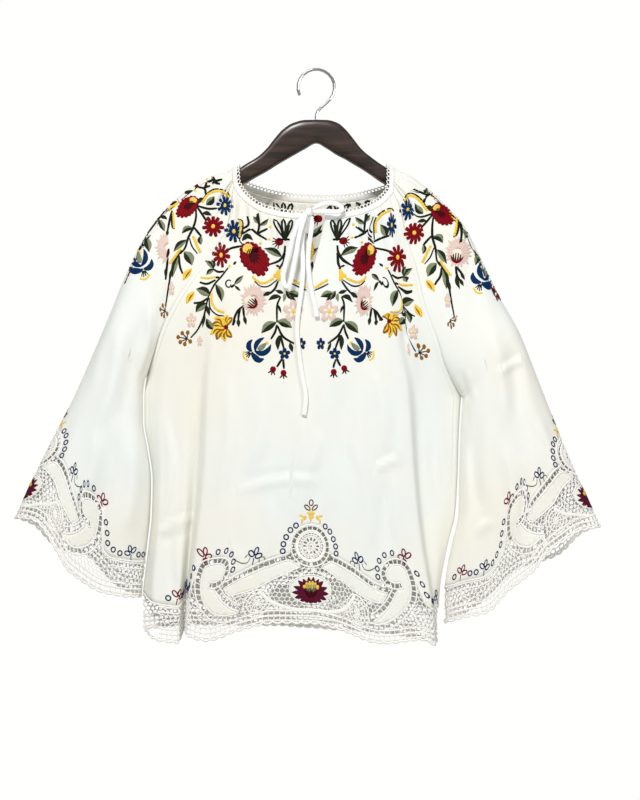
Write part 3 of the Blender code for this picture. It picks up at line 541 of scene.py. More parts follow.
def linear(hexColour):
    # sRGB hex to the linear colour that the shader takes
    values = [int(hexColour[i : i + 2], 16) / 255 for i in (1, 3, 5)]
    return tuple(c / 12.92 if c <= 0.04045 else ((c + 0.055) / 1.055) ** 2.4 for c in values) + (1.0,)


def addNode(tree, kind, settings=None, links=None):
    # A node with its settings and its incoming links, both keyed by input name or number
    node = tree.nodes.new(kind)
    for key, value in (settings or {}).items():
        if isinstance(key, int) or key in node.inputs.keys():
            node.inputs[key].default_value = value
        else:
            setattr(node, key, value)
    for key, source in (links or {}).items():
        tree.links.new(source, node.inputs[key])
    return node


def newMaterial(name):
    material = bpy.data.materials.new(name)
    material.use_nodes = True
    tree = material.node_tree
    return material, tree, tree.nodes["Principled BSDF"]


clothLook = {
    "colour": "#ECECE4", "cool": "#E8ECE8", "warm": "#EDE9DD", "thread": 0.0012,
    "rough": 0.86, "sheen": 0.12, "bump": 0.10, "slub": 0.0045, "drift": 4.5}


def cottonMaterial(name, look):
    # Plain woven bleached cotton: matt, a fine even weave, faintly cool and warm in soft patches.
    # The weave is drawn at 1.2 mm, coarser than the real 0.4 mm, so that it shows.
    material, tree, shader = newMaterial(name)
    spot = addNode(tree, "ShaderNodeTexCoord")
    drift = addNode(tree, "ShaderNodeTexNoise", {"Scale": look["drift"], "Detail": 2.0, "Roughness": 0.5},
                    {"Vector": spot.outputs["Object"]})
    ramp = addNode(tree, "ShaderNodeValToRGB", links={"Fac": drift.outputs["Fac"]})
    ramp.color_ramp.elements[0].position, ramp.color_ramp.elements[1].position = 0.34, 0.68
    ramp.color_ramp.elements[0].color = linear(look["cool"])
    ramp.color_ramp.elements[1].color = linear(look["warm"])
    middle = ramp.color_ramp.elements.new(0.5)
    middle.color = linear(look["colour"])
    tree.links.new(ramp.outputs["Color"], shader.inputs["Base Color"])
    split = addNode(tree, "ShaderNodeSeparateXYZ", links={"Vector": spot.outputs["UV"]})
    turns = 2 * math.pi / look["thread"]
    across = addNode(tree, "ShaderNodeMath", {"operation": "MULTIPLY", 1: turns}, {0: split.outputs["X"]})
    along = addNode(tree, "ShaderNodeMath", {"operation": "MULTIPLY", 1: turns}, {0: split.outputs["Y"]})
    warp = addNode(tree, "ShaderNodeMath", {"operation": "SINE"}, {0: across.outputs[0]})
    weft = addNode(tree, "ShaderNodeMath", {"operation": "SINE"}, {0: along.outputs[0]})
    weave = addNode(tree, "ShaderNodeMath", {"operation": "MULTIPLY"},
                    {0: warp.outputs[0], 1: weft.outputs[0]})
    slub = addNode(tree, "ShaderNodeTexNoise", {"Scale": 1 / look["slub"], "Detail": 3.0},
                   {"Vector": spot.outputs["Object"]})
    height = addNode(tree, "ShaderNodeMath", {"operation": "MULTIPLY_ADD", 1: 0.35},
                     {0: weave.outputs[0], 2: slub.outputs["Fac"]})
    bump = addNode(tree, "ShaderNodeBump", {"Strength": look["bump"], "Distance": 0.0006},
                   {"Height": height.outputs[0]})
    tree.links.new(bump.outputs["Normal"], shader.inputs["Normal"])
    shader.inputs["Roughness"].default_value = look["rough"]
    shader.inputs["Sheen Weight"].default_value = look["sheen"]
    shader.inputs["Sheen Roughness"].default_value = 0.4
    shader.inputs["Specular IOR Level"].default_value = 0.25
    return material


threadLook = {"colour": "#F8F7F3", "shade": "#EFEDE6", "twist": 0.0011, "rough": 0.72, "sheen": 0.15}


def laceMaterial(name, look):
    # White cotton embroidery thread and cord: slightly glossier than the cloth, twisted plies
    material, tree, shader = newMaterial(name)
    spot = addNode(tree, "ShaderNodeTexCoord")
    grain = addNode(tree, "ShaderNodeTexNoise", {"Scale": 1 / look["twist"], "Detail": 2.0},
                    {"Vector": spot.outputs["Object"]})
    mix = addNode(tree, "ShaderNodeMix", {"data_type": "RGBA"})
    mix.inputs[6].default_value, mix.inputs[7].default_value = linear(look["colour"]), linear(look["shade"])
    tree.links.new(grain.outputs["Fac"], mix.inputs[0])
    tree.links.new(mix.outputs[2], shader.inputs["Base Color"])
    bump = addNode(tree, "ShaderNodeBump", {"Strength": 0.35, "Distance": 0.0004},
                   {"Height": grain.outputs["Fac"]})
    tree.links.new(bump.outputs["Normal"], shader.inputs["Normal"])
    shader.inputs["Roughness"].default_value = look["rough"]
    shader.inputs["Sheen Weight"].default_value = look["sheen"]
    shader.inputs["Specular IOR Level"].default_value = 0.3
    return material


def satinMaterial(name, colour, dark):
    # Mercerised cotton satin stitch: soft gloss, fine streaks along the stitches.
    # Threads are drawn 0.9 mm wide, twice the real width, so that they show.
    material, tree, shader = newMaterial(name)
    spot = addNode(tree, "ShaderNodeTexCoord")
    stretch = addNode(tree, "ShaderNodeMapping", {"Scale": (1100.0, 160.0, 1.0)},
                      {"Vector": spot.outputs["UV"]})
    streak = addNode(tree, "ShaderNodeTexNoise", {"Scale": 1.0, "Detail": 2.0, "Roughness": 0.6},
                     {"Vector": stretch.outputs["Vector"]})
    mix = addNode(tree, "ShaderNodeMix", {"data_type": "RGBA"})
    mix.inputs[6].default_value, mix.inputs[7].default_value = linear(dark), linear(colour)
    edge = addNode(tree, "ShaderNodeMapRange", {"From Min": 0.32, "From Max": 0.58},
                   {"Value": streak.outputs["Fac"]})
    tree.links.new(edge.outputs["Result"], mix.inputs[0])
    tree.links.new(mix.outputs[2], shader.inputs["Base Color"])
    bump = addNode(tree, "ShaderNodeBump", {"Strength": 0.5, "Distance": 0.0004},
                   {"Height": streak.outputs["Fac"]})
    tree.links.new(bump.outputs["Normal"], shader.inputs["Normal"])
    shader.inputs["Roughness"].default_value = 0.55
    shader.inputs["Specular IOR Level"].default_value = 0.06
    return material


cotton = cottonMaterial("bleached cotton lawn", clothLook)
# The strip is the same cotton as the panels, painted a little brighter and cooler: a painted highlight on the
# standing binding, which the ties and the knot share
brightStripCottonPaintedLit = cottonMaterial("folded cotton bias strip painted brighter", {**clothLook, "colour": "#F3F2ED",
                                                            "cool": "#EFF1F1"})
laceThread = laceMaterial("white cotton lace thread", threadLook)
print("materials made")

# Meshes


def makePiece(name, points, faces, materials, materialIndex=None, uv=None):
    # Points in millimetres; uv holds one pair for each point
    mesh = bpy.data.meshes.new(name)
    mesh.from_pydata((np.asarray(points, float) * metre).tolist(), [], faces)
    for material in materials:
        mesh.materials.append(material)
    if materialIndex is not None:
        mesh.polygons.foreach_set("material_index", np.asarray(materialIndex, np.int32))
    if uv is not None:
        layer = mesh.uv_layers.new(name="UVMap")
        corners = np.empty(len(mesh.loops), np.int32)
        mesh.loops.foreach_get("vertex_index", corners)
        layer.data.foreach_set("uv", (np.asarray(uv, float)[corners] * metre).ravel())
    mesh.shade_smooth()
    mesh.update()
    made = bpy.data.objects.new(name, mesh)
    scene.collection.objects.link(made)
    return made


def shellOf(points, faces, wall, uv):
    # Two skins half a wall to each side of the middle surface, joined round every open edge
    points, faces = np.asarray(points, float), np.asarray(faces)
    normals = np.zeros_like(points)
    corners = points[faces]
    facing = np.cross(corners[:, 2] - corners[:, 0], corners[:, 3 if faces.shape[1] > 3 else 1]
                      - corners[:, 1])
    if faces.shape[1] == 3:
        facing = np.cross(corners[:, 1] - corners[:, 0], corners[:, 2] - corners[:, 0])
    for k in range(faces.shape[1]):
        np.add.at(normals, faces[:, k], facing)
    normals = unit(normals)
    count, sides = len(points), faces.shape[1]
    edges = np.concatenate([faces[:, (k, (k + 1) % sides)] for k in range(sides)])
    keys = {(a, b) for a, b in edges.tolist()}
    rims = [(b, a, a + count, b + count) for a, b in sorted(keys) if (b, a) not in keys]
    allFaces = faces.tolist() + (faces[:, ::-1] + count).tolist() + rims
    shell = np.concatenate([points + normals * wall / 2, points - normals * wall / 2])
    return shell, allFaces, np.tile(uv, (2, 1))


def gridFaces(rows, columns, turned=False, skip=None):
    i, j = np.meshgrid(np.arange(rows - 1), np.arange(columns - 1), indexing="ij")
    if skip is not None:
        keep = j != skip
        i, j = i[keep], j[keep]
    a = (i * columns + j).ravel()
    quads = np.stack([a, a + columns, a + columns + 1, a + 1], 1)
    return quads[:, ::-1] if turned else quads


def weld(points, faces, uv, reach=0.02):
    # Joins points that lie in one place, so that a slit closes and a tube's seam is one edge
    keys = np.round(points / reach).astype(np.int64)
    _, first, index = np.unique(keys, axis=0, return_index=True, return_inverse=True)
    return points[first], index.reshape(-1)[faces], uv[first]


# The lace's own flat frame: distance along the hem from the pattern's middle, height above the hem


def flatMap(surface, start, end, middle):
    across = np.linspace(start, end, 481)
    levels = np.linspace(1, 0.5, 101)
    u, v = np.meshgrid(across, levels, indexing="ij")
    grid = surface(u.ravel(), v.ravel()).reshape(481, 101, 3)
    distance = lengthsAlong(grid[:, 0])
    distance -= np.interp(middle, across, distance)
    steps = np.linalg.norm(np.diff(grid, axis=1), axis=2)
    heights = np.concatenate([np.zeros((481, 1)), np.cumsum(steps, 1)], 1)
    evenB = np.arange(-3, 201, 1.5)
    evenA = np.arange(distance[0], distance[-1] + 0.75, 1.5)
    atHeight = np.empty((481, len(evenB), 4))
    for i in range(481):
        for k in range(3):
            atHeight[i, :, k] = np.interp(evenB, heights[i], grid[i, :, k])
        atHeight[i, :, 3] = np.interp(evenB, heights[i], levels)
    places = np.empty((len(evenA), len(evenB), 4))
    for j in range(len(evenB)):
        for k in range(4):
            places[:, j, k] = np.interp(evenA, distance, atHeight[:, j, k])
    # below the hem the surface runs straight on
    for j, b in enumerate(evenB):
        if b < 0:
            down = places[:, 2, :3] - places[:, 4, :3]
            down /= np.linalg.norm(down, axis=1, keepdims=True)
            places[:, j, :3] = places[:, 2, :3] - down * b
    along, up = np.gradient(places[:, :, :3], axis=0), np.gradient(places[:, :, :3], axis=1)
    normals = unit(np.cross(along, up))
    return {"a0": evenA[0], "a1": evenA[-1], "b0": evenB[0], "places": places, "normals": normals,
            "across": across, "distance": distance}


def readGrid(grid, x, y):
    x, y = np.clip(x, 0, grid.shape[0] - 1.001), np.clip(y, 0, grid.shape[1] - 1.001)
    i, j = x.astype(int), y.astype(int)
    s, t = (x - i)[:, None], (y - j)[:, None]
    return (grid[i, j] * (1 - s) * (1 - t) + grid[i + 1, j] * s * (1 - t)
            + grid[i, j + 1] * (1 - s) * t + grid[i + 1, j + 1] * s * t)


def settle(place, flat):
    # How the hung cloth carries the drawn pattern: a little aside, and lower or higher than drawn
    x, y = np.asarray(flat, float).T
    away = np.abs(x)
    near, far = place["aside"]
    moved = x + smoothStep((238 - away) / 60) * (near + far * smoothStep(away / 110))
    y = y * (1 - place["sink"] * smoothStep((210 - away) / 60))
    y = y + place["lift"] * np.exp(-(((x - 65) / 38) ** 2)) * smoothStep((y - 18) / 30)
    return np.stack([moved, y], 1)


def onCloth(place, flat, height=0.0):
    # Flat points (distance, height above the hem) onto the cloth, standing out by height
    flat = settle(place, flat)
    x, y = (flat[:, 0] - place["a0"]) / 1.5, (flat[:, 1] - place["b0"]) / 1.5
    points = readGrid(place["places"], x, y)[:, :3]
    normals = readGrid(place["normals"], x, y) * place["turn"]
    return points + normals * np.reshape(height, (-1, 1))


def shareAt(place, a, b):
    x, y = (np.asarray(a) - place["a0"]) / 1.5, (np.asarray(b) - place["b0"]) / 1.5
    return readGrid(place["places"], x, y)[:, 3]


panelSizes = {"wall": 0.7, "rows": 130}

sleeveLeftAt, sleeveRightAt = sleeveDense("left"), sleeveDense("right")
maps = {
    "front": flatMap(frontDense, 0, 1, slitMiddle),
    "back": flatMap(backDense, 0, 1, 0.5),
    "left": flatMap(sleeveLeftAt, 0, 2, 1),
    "right": flatMap(sleeveRightAt, 0, 2, 1),
}
for key, turn in (("front", 1), ("back", -1), ("left", -1), ("right", 1)):
    maps[key] |= {"turn": turn, "aside": (0, 0), "sink": 0.0, "lift": 0.0}
maps["front"] |= {"aside": (-1.5, -6.0), "lift": 8.0}
maps["back"]["sink"] = 0.13
print("surfaces measured")


# The border's upper edge: straight stretches, with the medallion's and the scroll heads' rounds above them
seamRuns = ((0, 25, 51, 73, 95, 112, 153.6, 157, 160, 164, 175, 400),
            (94, 91.6, 83.6, 79, 74.6, 72, 88, 75, 62, 52, 47, 47))


def seamHeight(distance):
    away = np.abs(np.asarray(distance, float))
    line = np.interp(away, *seamRuns)
    medallionTop = 100 + 27.8 * np.sqrt(np.clip(1 - (away / 27.8) ** 2, 0, None))
    headTop = 87.7 + 19.6 * np.sqrt(np.clip(1 - ((away - 130) / 23.6) ** 2, 0, None))
    height = np.where(away < 27.8, np.maximum(line, medallionTop), line)
    return np.where(np.abs(away - 130) < 23.6, np.maximum(height, headTop), height)


def rowShares(rows, end):
    # Closer together at the gathered neck
    t = np.linspace(0, 1, rows)
    return (0.55 * t + 0.45 * t**2) * end


def makePanel(name, surface, place, u, turned, split=None):
    # A fine shell from the neck down to the lace's upper edge
    along = np.interp(u if split is None else np.asarray(split[1]), place["across"], place["distance"])
    drawn = 2 * along - settle(place, np.stack([along, seamHeight(along)], 1))[:, 0]
    ends = shareAt(place, along, settle(place, np.stack([drawn, seamHeight(drawn)], 1))[:, 1] + 0.5)
    rows = panelSizes["rows"]
    t = rowShares(rows, 1.0)
    v = t[:, None] * ends[None, :]
    if split is None:
        across = np.broadcast_to(u, v.shape)
    else:
        keys, side = np.asarray(split[1]), np.asarray(split[0])
        half = slitHalf * np.clip(1 - v / slitEnd, 0, None)
        left = keys * (slitMiddle - half) / slitMiddle
        right = 1 - (1 - keys) * (1 - slitMiddle - half) / (1 - slitMiddle)
        across = np.where(side[None, :] == 0, left, right)
    points = surface(across.ravel(), v.ravel())
    grid = points.reshape(rows, -1, 3)
    stepsA = np.linalg.norm(np.diff(grid, axis=1), axis=2)
    stepsB = np.linalg.norm(np.diff(grid, axis=0), axis=2)
    uvA = np.concatenate([np.zeros((rows, 1)), np.cumsum(stepsA, 1)], 1)
    uvB = np.concatenate([np.zeros((1, grid.shape[1])), np.cumsum(stepsB, 0)], 0)
    uv = np.stack([uvA.ravel() - uvA[:, -1:].repeat(grid.shape[1], 1).ravel() / 2, uvB.ravel()], 1)
    skip = None if split is None else split[2]
    faces = gridFaces(rows, grid.shape[1], turned, skip)
    points, faces, uv = weld(points, faces, uv)
    faces = faces[[len(set(f)) == 4 for f in faces.tolist()]]
    points, faces, uv = shellOf(points, faces, panelSizes["wall"], uv)
    piece = makePiece(name, points, faces, [cotton], uv=uv)
    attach(piece, "root")
    return piece


leftKeys = np.linspace(0, slitMiddle, 80)
rightKeys = np.linspace(slitMiddle, 1, 73)
sides = [0] * 80 + [1] * 73
frontPanel = makePanel("front_cloth", frontDense, maps["front"], None, False,
                       (sides, np.concatenate([leftKeys, rightKeys]), 79))
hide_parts("front_panel")
backPanel = makePanel("back_cloth", backDense, maps["back"], np.linspace(0, 1, 140), True)
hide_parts("back_panel")


def sleevePlaces(half):
    front = 0.5 * (1 - np.cos(math.pi * np.arange(half + 1) / half)) * 0.6 + 0.4 * np.arange(half + 1) / half
    return np.concatenate([front, 2 - front[-2::-1]])


sleeves = {}
for hand, surface in (("left", sleeveLeftAt), ("right", sleeveRightAt)):
    sleeves[hand] = makePanel(hand + "_sleeve_cloth", surface, maps[hand], sleevePlaces(80), hand == "left")
    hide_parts("sleeve_" + hand)
print("cloth made")

# Threads: polylines with a radius become round threads by Geometry Nodes


def threadTree(material):
    # Edges with a radius attribute to round threads; sides is how many flats each thread has
    tree = bpy.data.node_groups.new("threads", "GeometryNodeTree")
    tree.interface.new_socket("Geometry", in_out="INPUT", socket_type="NodeSocketGeometry")
    sides = tree.interface.new_socket("Sides", in_out="INPUT", socket_type="NodeSocketInt")
    sides.default_value = 5
    tree.interface.new_socket("Geometry", in_out="OUTPUT", socket_type="NodeSocketGeometry")
    start, end = tree.nodes.new("NodeGroupInput"), tree.nodes.new("NodeGroupOutput")
    curve = addNode(tree, "GeometryNodeMeshToCurve", links={0: start.outputs["Geometry"]})
    radius = addNode(tree, "GeometryNodeInputNamedAttribute", {"data_type": "FLOAT", "Name": "radius"})
    sized = addNode(tree, "GeometryNodeSetCurveRadius", links={"Curve": curve.outputs[0],
                                                               "Radius": radius.outputs[0]})
    ring = addNode(tree, "GeometryNodeCurvePrimitiveCircle", {"Radius": 1.0},
                   {"Resolution": start.outputs["Sides"]})
    tube = addNode(tree, "GeometryNodeCurveToMesh", {"Fill Caps": True},
                   {"Curve": sized.outputs[0], "Profile Curve": ring.outputs[0]})
    if "Scale" in tube.inputs.keys():
        tree.links.new(radius.outputs[0], tube.inputs["Scale"])
    smooth = addNode(tree, "GeometryNodeSetShadeSmooth", links={0: tube.outputs[0]})
    real = addNode(tree, "GeometryNodeRealizeInstances", links={0: smooth.outputs[0]})
    paint = addNode(tree, "GeometryNodeSetMaterial", {"Material": material}, {0: real.outputs[0]})
    tree.links.new(paint.outputs[0], end.inputs[0])
    return tree, sides.identifier


def makeThreads(name, lines, material, sides=5):
    # lines: (points in millimetres, radius in millimetres)
    points = np.concatenate([line for line, _ in lines])
    radius = np.concatenate([np.full(len(line), size * metre) for line, size in lines])
    edges, start = [], 0
    for line, _ in lines:
        edges += [(start + i, start + i + 1) for i in range(len(line) - 1)]
        start += len(line)
    mesh = bpy.data.meshes.new(name)
    mesh.from_pydata((points * metre).tolist(), edges, [])
    mesh.attributes.new("radius", "FLOAT", "POINT").data.foreach_set("value", radius)
    source = bpy.data.objects.new(name, mesh)
    scene.collection.objects.link(source)
    tree, identifier = threadTree(material)
    modifier = source.modifiers.new("threads", "NODES")
    modifier.node_group = tree
    modifier[identifier] = sides
    made = bpy.data.meshes.new_from_object(source.evaluated_get(bpy.context.evaluated_depsgraph_get()))
    source.modifiers.remove(modifier)
    bpy.data.node_groups.remove(tree)
    source.data = made
    made.name = name
    return source


def joinPieces(name, pieces):
    # One object from several, with their materials kept
    mesh = bmesh.new()
    materials = []
    for piece in pieces:
        slots = []
        for material in piece.data.materials:
            if material not in materials:
                materials.append(material)
            slots.append(materials.index(material))
        before = len(mesh.faces)
        mesh.from_mesh(piece.data)
        mesh.faces.ensure_lookup_table()
        for face in mesh.faces[before:]:
            face.material_index = slots[min(face.material_index, len(slots) - 1)] if slots else 0
            face.smooth = True
    result = bpy.data.meshes.new(name)
    mesh.to_mesh(result)
    mesh.free()
    for material in materials:
        result.materials.append(material)
    for piece in pieces:
        bpy.data.objects.remove(piece, do_unlink=True)
    made = bpy.data.objects.new(name, result)
    scene.collection.objects.link(made)
    return made


# The cutwork, drawn flat: distance from the middle of the pattern, height above the hem, in mm

lace = {"bar": 0.78, "thin": 0.68, "cord": 1.1, "pitch": 6.9, "net": 6.1, "jitter": 1.05, "cloth": 0.7,
        "rowLow": (4.5, 9.5), "rowHigh": (11, 16), "scallop": 11.6, "scallopDepth": 2.4,
        "sideTop": (38.0, 44.0), "sideFrom": 178, "reach": 262, "behind": 1.3}
medallion = {"centre": (0, 100), "ladder": (20.4, 26.0), "tape": 19.0, "net": 17.6}
scrollHead = {"centre": (130, 87.7), "half": (15.7, 11.7), "ladder": (0.8, 7.6), "turn": (0, 286)}
scrollOuter = ((147.3, 87.7), (148.4, 81), (149, 74), (148.6, 65), (145.9, 54.3), (140.4, 45.4),
               (132.3, 37.5), (123.8, 31.6), (112.7, 26.3), (102.8, 23.4), (94.8, 22.1), (90.5, 23))
innerLadder = ((124.0, 66.6), (119.6, 60.2), (115.2, 53.6), (109.5, 46.6), (103.6, 40.6), (97.0, 34.4),
               (90.0, 29.6))
band = ((113.8, 63.6), (95.4, 66.4), (73.3, 69.8), (51.2, 74.0), (32, 81.0), (24.5, 79.8), (14, 73.6),
        (22.9, 69.6), (33.9, 63.9), (47.5, 56.9), (62.3, 50.4), (78.3, 48.4), (90.5, 48.3), (102.0, 49.4),
        (108.9, 55.4))
lensLower = ((62, 47.4), (57.3, 39.8), (46.3, 29.8), (31.5, 23.6), (16.8, 20.8), (0, 20.2))
oval = {"centre": (0, 44.6), "half": (27.5, 18.6)}
web = {"centre": (67.5, 29.4), "rings": (4.0, 8.0, 12.2), "spokes": 12, "ladder": (12.6, 16.4)}


def smoothLine(points, step=2.0):
    # A smooth flat line through the given points, at even steps
    fine, run = curveThrough(points, 10)
    return readLine(np.linspace(0, run[-1], max(2, round(run[-1] / step) + 1)), run, fine)


def circleLine(centre, radius, count=40, squash=1.0):
    turn = np.linspace(0, 2 * math.pi, count + 1)
    return np.stack([centre[0] + radius * np.cos(turn), centre[1] + radius * squash * np.sin(turn)], 1)


def leftOf(tangent):
    return np.stack([-tangent[:, 1], tangent[:, 0]], 1)


def aim(turn):
    return np.array([math.cos(turn), math.sin(turn)])


def offsetLine(line, distance):
    return line + leftOf(unit(np.gradient(line, axis=0))) * distance


def insideOf(points, polygon):
    polygon = np.asarray(polygon, float)
    inside = np.zeros(len(points), bool)
    for a, b in zip(polygon, np.roll(polygon, -1, axis=0)):
        crosses = (a[1] > points[:, 1]) != (b[1] > points[:, 1])
        with np.errstate(divide="ignore", invalid="ignore"):
            at = (b[0] - a[0]) * (points[:, 1] - a[1]) / (b[1] - a[1]) + a[0]
        inside ^= crosses & (points[:, 0] < at)
    return inside


def distanceTo(points, line):
    nearest = np.full(len(points), 1e9)
    for a, b in zip(line[:-1], line[1:]):
        ab = b - a
        t = np.clip(((points - a) @ ab) / max(ab @ ab, 1e-9), 0, 1)
        nearest = np.minimum(nearest, np.linalg.norm(points - a - t[:, None] * ab, axis=1))
    return nearest


def mirror(line):
    return np.asarray(line, float) * (-1, 1)


def drawLace():
    # Everything in the pattern as flat lines and patches, both halves
    threads, patches, ladders = [], [], []
    # plain cloth inside the pattern
    # the scroll: down its outer side, back up the inner one, round the curl's tip and over its head
    centre, (wide, tall) = np.array(scrollHead["centre"]), scrollHead["half"]
    away, tip = scrollHead["ladder"][1] + 1.0, scrollHead["turn"][1]

    def headArc(start, end, grow):
        turn = np.radians(np.linspace(start, end, max(3, int(abs(end - start) / 9))))
        return centre + np.stack([(wide + grow) * np.cos(turn), (tall + grow) * np.sin(turn)], 1)

    outerEdge = offsetLine(smoothLine(scrollOuter, 3), -1.6)
    innerEdge = offsetLine(smoothLine(innerLadder, 2), 4.0)[::-1]
    scroll = np.concatenate([outerEdge, innerEdge, headArc(tip - 20, tip, away), headArc(tip, 4, 0.2)])
    for sign in (1, -1):
        patches.append(scroll * (sign, 1))
        patches.append(smoothLine(band + band[:1], 3)[:-1] * (sign, 1))
    patches.append(circleLine(oval["centre"], oval["half"][0], 44, oval["half"][1] / oval["half"][0])[:-1])
    # rows of ladder holes: middle line, half width, closed
    ring = sum(medallion["ladder"]) / 2, (medallion["ladder"][1] - medallion["ladder"][0]) / 2
    ladders.append((circleLine(medallion["centre"], ring[0], 48), ring[1], True))
    reach, half = sum(scrollHead["ladder"]) / 2, (scrollHead["ladder"][1] - scrollHead["ladder"][0]) / 2
    turn = np.radians(np.linspace(*scrollHead["turn"], 48))
    head = np.stack([scrollHead["centre"][0] + (scrollHead["half"][0] + reach) * np.cos(turn),
                     scrollHead["centre"][1] + (scrollHead["half"][1] + reach) * np.sin(turn)], 1)
    outer = offsetLine(smoothLine(scrollOuter, 2), reach - 1.6)
    away = np.linspace(29, 111, 40)
    aboveBand = np.stack([away, np.interp(away, seamRuns[0], seamRuns[1]) - 4.6], 1)
    for line, wide in ((head, half), (outer, half), (smoothLine(innerLadder, 2), 3.0), (aboveBand, 3.1)):
        ladders += [(line, wide, False), (mirror(line), wide, False)]
    webRing = sum(web["ladder"]) / 2, (web["ladder"][1] - web["ladder"][0]) / 2
    webLine = circleLine(web["centre"], webRing[0], 34)
    ladders += [(webLine, webRing[1], True), (mirror(webLine), webRing[1], True)]
    reach = np.arange(-lace["reach"], lace["reach"] + 0.1, 3.0)
    for low, high in (lace["rowLow"], lace["rowHigh"]):
        ladders.append((np.stack([reach, np.full(len(reach), (low + high) / 2)], 1), (high - low) / 2, False))
    for sign in (1, -1):
        away = np.arange(lace["sideFrom"], lace["reach"] + 0.1, 3.0)
        ladders.append((np.stack([sign * away, np.full(len(away), sum(lace["sideTop"]) / 2)], 1),
                        (lace["sideTop"][1] - lace["sideTop"][0]) / 2, False))
    # tape along the lens, and the web's spokes and rings
    lens = np.concatenate([smoothLine(lensLower, 2), mirror(smoothLine(lensLower, 2))[::-1][1:]])
    tapes = [(offsetLine(lens, 2.6), 2.2)]
    for sign in (1, -1):
        centre = np.array(web["centre"]) * (sign, 1)
        for k in range(web["spokes"]):
            ray = aim(2 * math.pi * (k + 0.3) / web["spokes"])
            threads.append((np.stack([centre + ray * 0.4, centre + ray * 12.8]), lace["bar"] * 0.9))
        for size in web["rings"]:
            threads.append((circleLine(centre, size, 24), lace["bar"] * (1.5 if size > 12 else 0.85)))
    # the medallion's net: petals round a middle, and rings
    centre = np.array(medallion["centre"], float)
    for k in range(12):
        turn = 2 * math.pi * k / 12
        ray, side = aim(turn), np.array([-math.sin(turn), math.cos(turn)])
        loop = [centre + ray * 5 + side * 0.2, centre + ray * 9 + side * 2.1, centre + ray * 12.6,
                centre + ray * 9 - side * 2.1, centre + ray * 5 - side * 0.2]
        threads.append((smoothLine(loop, 1.6), lace["bar"]))
        threads.append((np.stack([centre + ray * 1.2, centre + ray * 5.4]), lace["bar"]))
        between = aim(turn + math.pi / 12)
        threads.append((np.stack([centre + between * 9.6, centre + between * 17.6]), lace["bar"]))
        threads.append((np.stack([centre + ray * 12.4, centre + ray * 17.6]), lace["bar"]))
    for size in (5.2, 12.8, 15.0):
        threads.append((circleLine(centre, size, 30), lace["bar"]))
    tapes.append((circleLine(centre, medallion["tape"], 44), 2.3))
    return threads, patches, ladders, tapes


def ladderThreads(line, half, closed, pitch):
    run = lengthsAlong(line)
    count = max(2, round(run[-1] / pitch))
    at = (np.arange(count) + (0 if closed else 0.5)) * run[-1] / count
    middle = readLine(at, run, line)
    side = leftOf(unit(readLine(at, run, np.gradient(line, axis=0))))
    bars = [(np.stack([m - s * half, m + s * half]), lace["bar"]) for m, s in zip(middle, side)]
    cords = [(offsetLine(line, sign * (half + 0.4)), lace["cord"]) for sign in (1, -1)]
    return bars, cords


def netThreads(free, reach, top):
    # An uneven net: the borders between scattered places, kept where the pattern leaves room
    chance = np.random.default_rng(11)
    size = lace["net"]
    columns, rows = int(2 * reach / size) + 2, int(top / (size * 0.87)) + 2
    i, j = np.meshgrid(np.arange(columns), np.arange(rows), indexing="ij")
    places = np.stack([(i + 0.5 * (j % 2)) * size - reach, j * size * 0.87], 2)
    places = (places + chance.uniform(-1, 1, places.shape) * lace["jitter"]).reshape(-1, 2)
    out = delaunay_2d_cdt([Vector(p) for p in places], [], [], 0, 1e-5)
    corners = np.array([tuple(v) for v in out[0]])
    triangles = np.array([f for f in out[2] if len(f) == 3])
    a, b, c = (corners[triangles[:, k]] for k in range(3))
    double = 2 * ((b - a)[:, 0] * (c - a)[:, 1] - (b - a)[:, 1] * (c - a)[:, 0])
    bb, cc = ((b - a) ** 2).sum(1), ((c - a) ** 2).sum(1)
    middle = a + np.stack([(c - a)[:, 1] * bb - (b - a)[:, 1] * cc, (b - a)[:, 0] * cc - (c - a)[:, 0] * bb],
                          1) / double[:, None]
    owners = {}
    for k, triangle in enumerate(triangles.tolist()):
        for one, two in ((0, 1), (1, 2), (2, 0)):
            owners.setdefault(tuple(sorted((triangle[one], triangle[two]))), []).append(k)
    pairs = np.array([both for both in owners.values() if len(both) == 2])
    starts, ends = middle[pairs[:, 0]], middle[pairs[:, 1]]
    short = np.linalg.norm(ends - starts, axis=1) < 2 * size
    starts, ends = starts[short], ends[short]
    share = np.linspace(0, 1, 9)
    samples = starts[:, None] * (1 - share[:, None]) + ends[:, None] * share[:, None]
    ok = free(samples.reshape(-1, 2)).reshape(-1, 9)
    lines = []
    for one, good in zip(samples, ok):
        run = np.flatnonzero(good)
        if len(run) >= 2 and run[-1] - run[0] == len(run) - 1:
            lines.append((one[[max(run[0] - 1, 0), min(run[-1] + 1, 8)]], lace["thin"]))
    return lines


def ribbon(line, half, height):
    # A flat tape with soft edges: points, heights and faces
    profile = ((-1, 0.0), (-0.92, 0.75), (-0.5, 1.0), (0.5, 1.0), (0.92, 0.75), (1, 0.0), (0.9, -0.6),
               (-0.9, -0.6))
    rows = [offsetLine(line, half * side) for side, _ in profile]
    points = np.stack(rows, 1).reshape(-1, 2)
    heights = np.tile([height * rise for _, rise in profile], len(line))
    return points, heights, tubeFaces(len(line), len(profile))


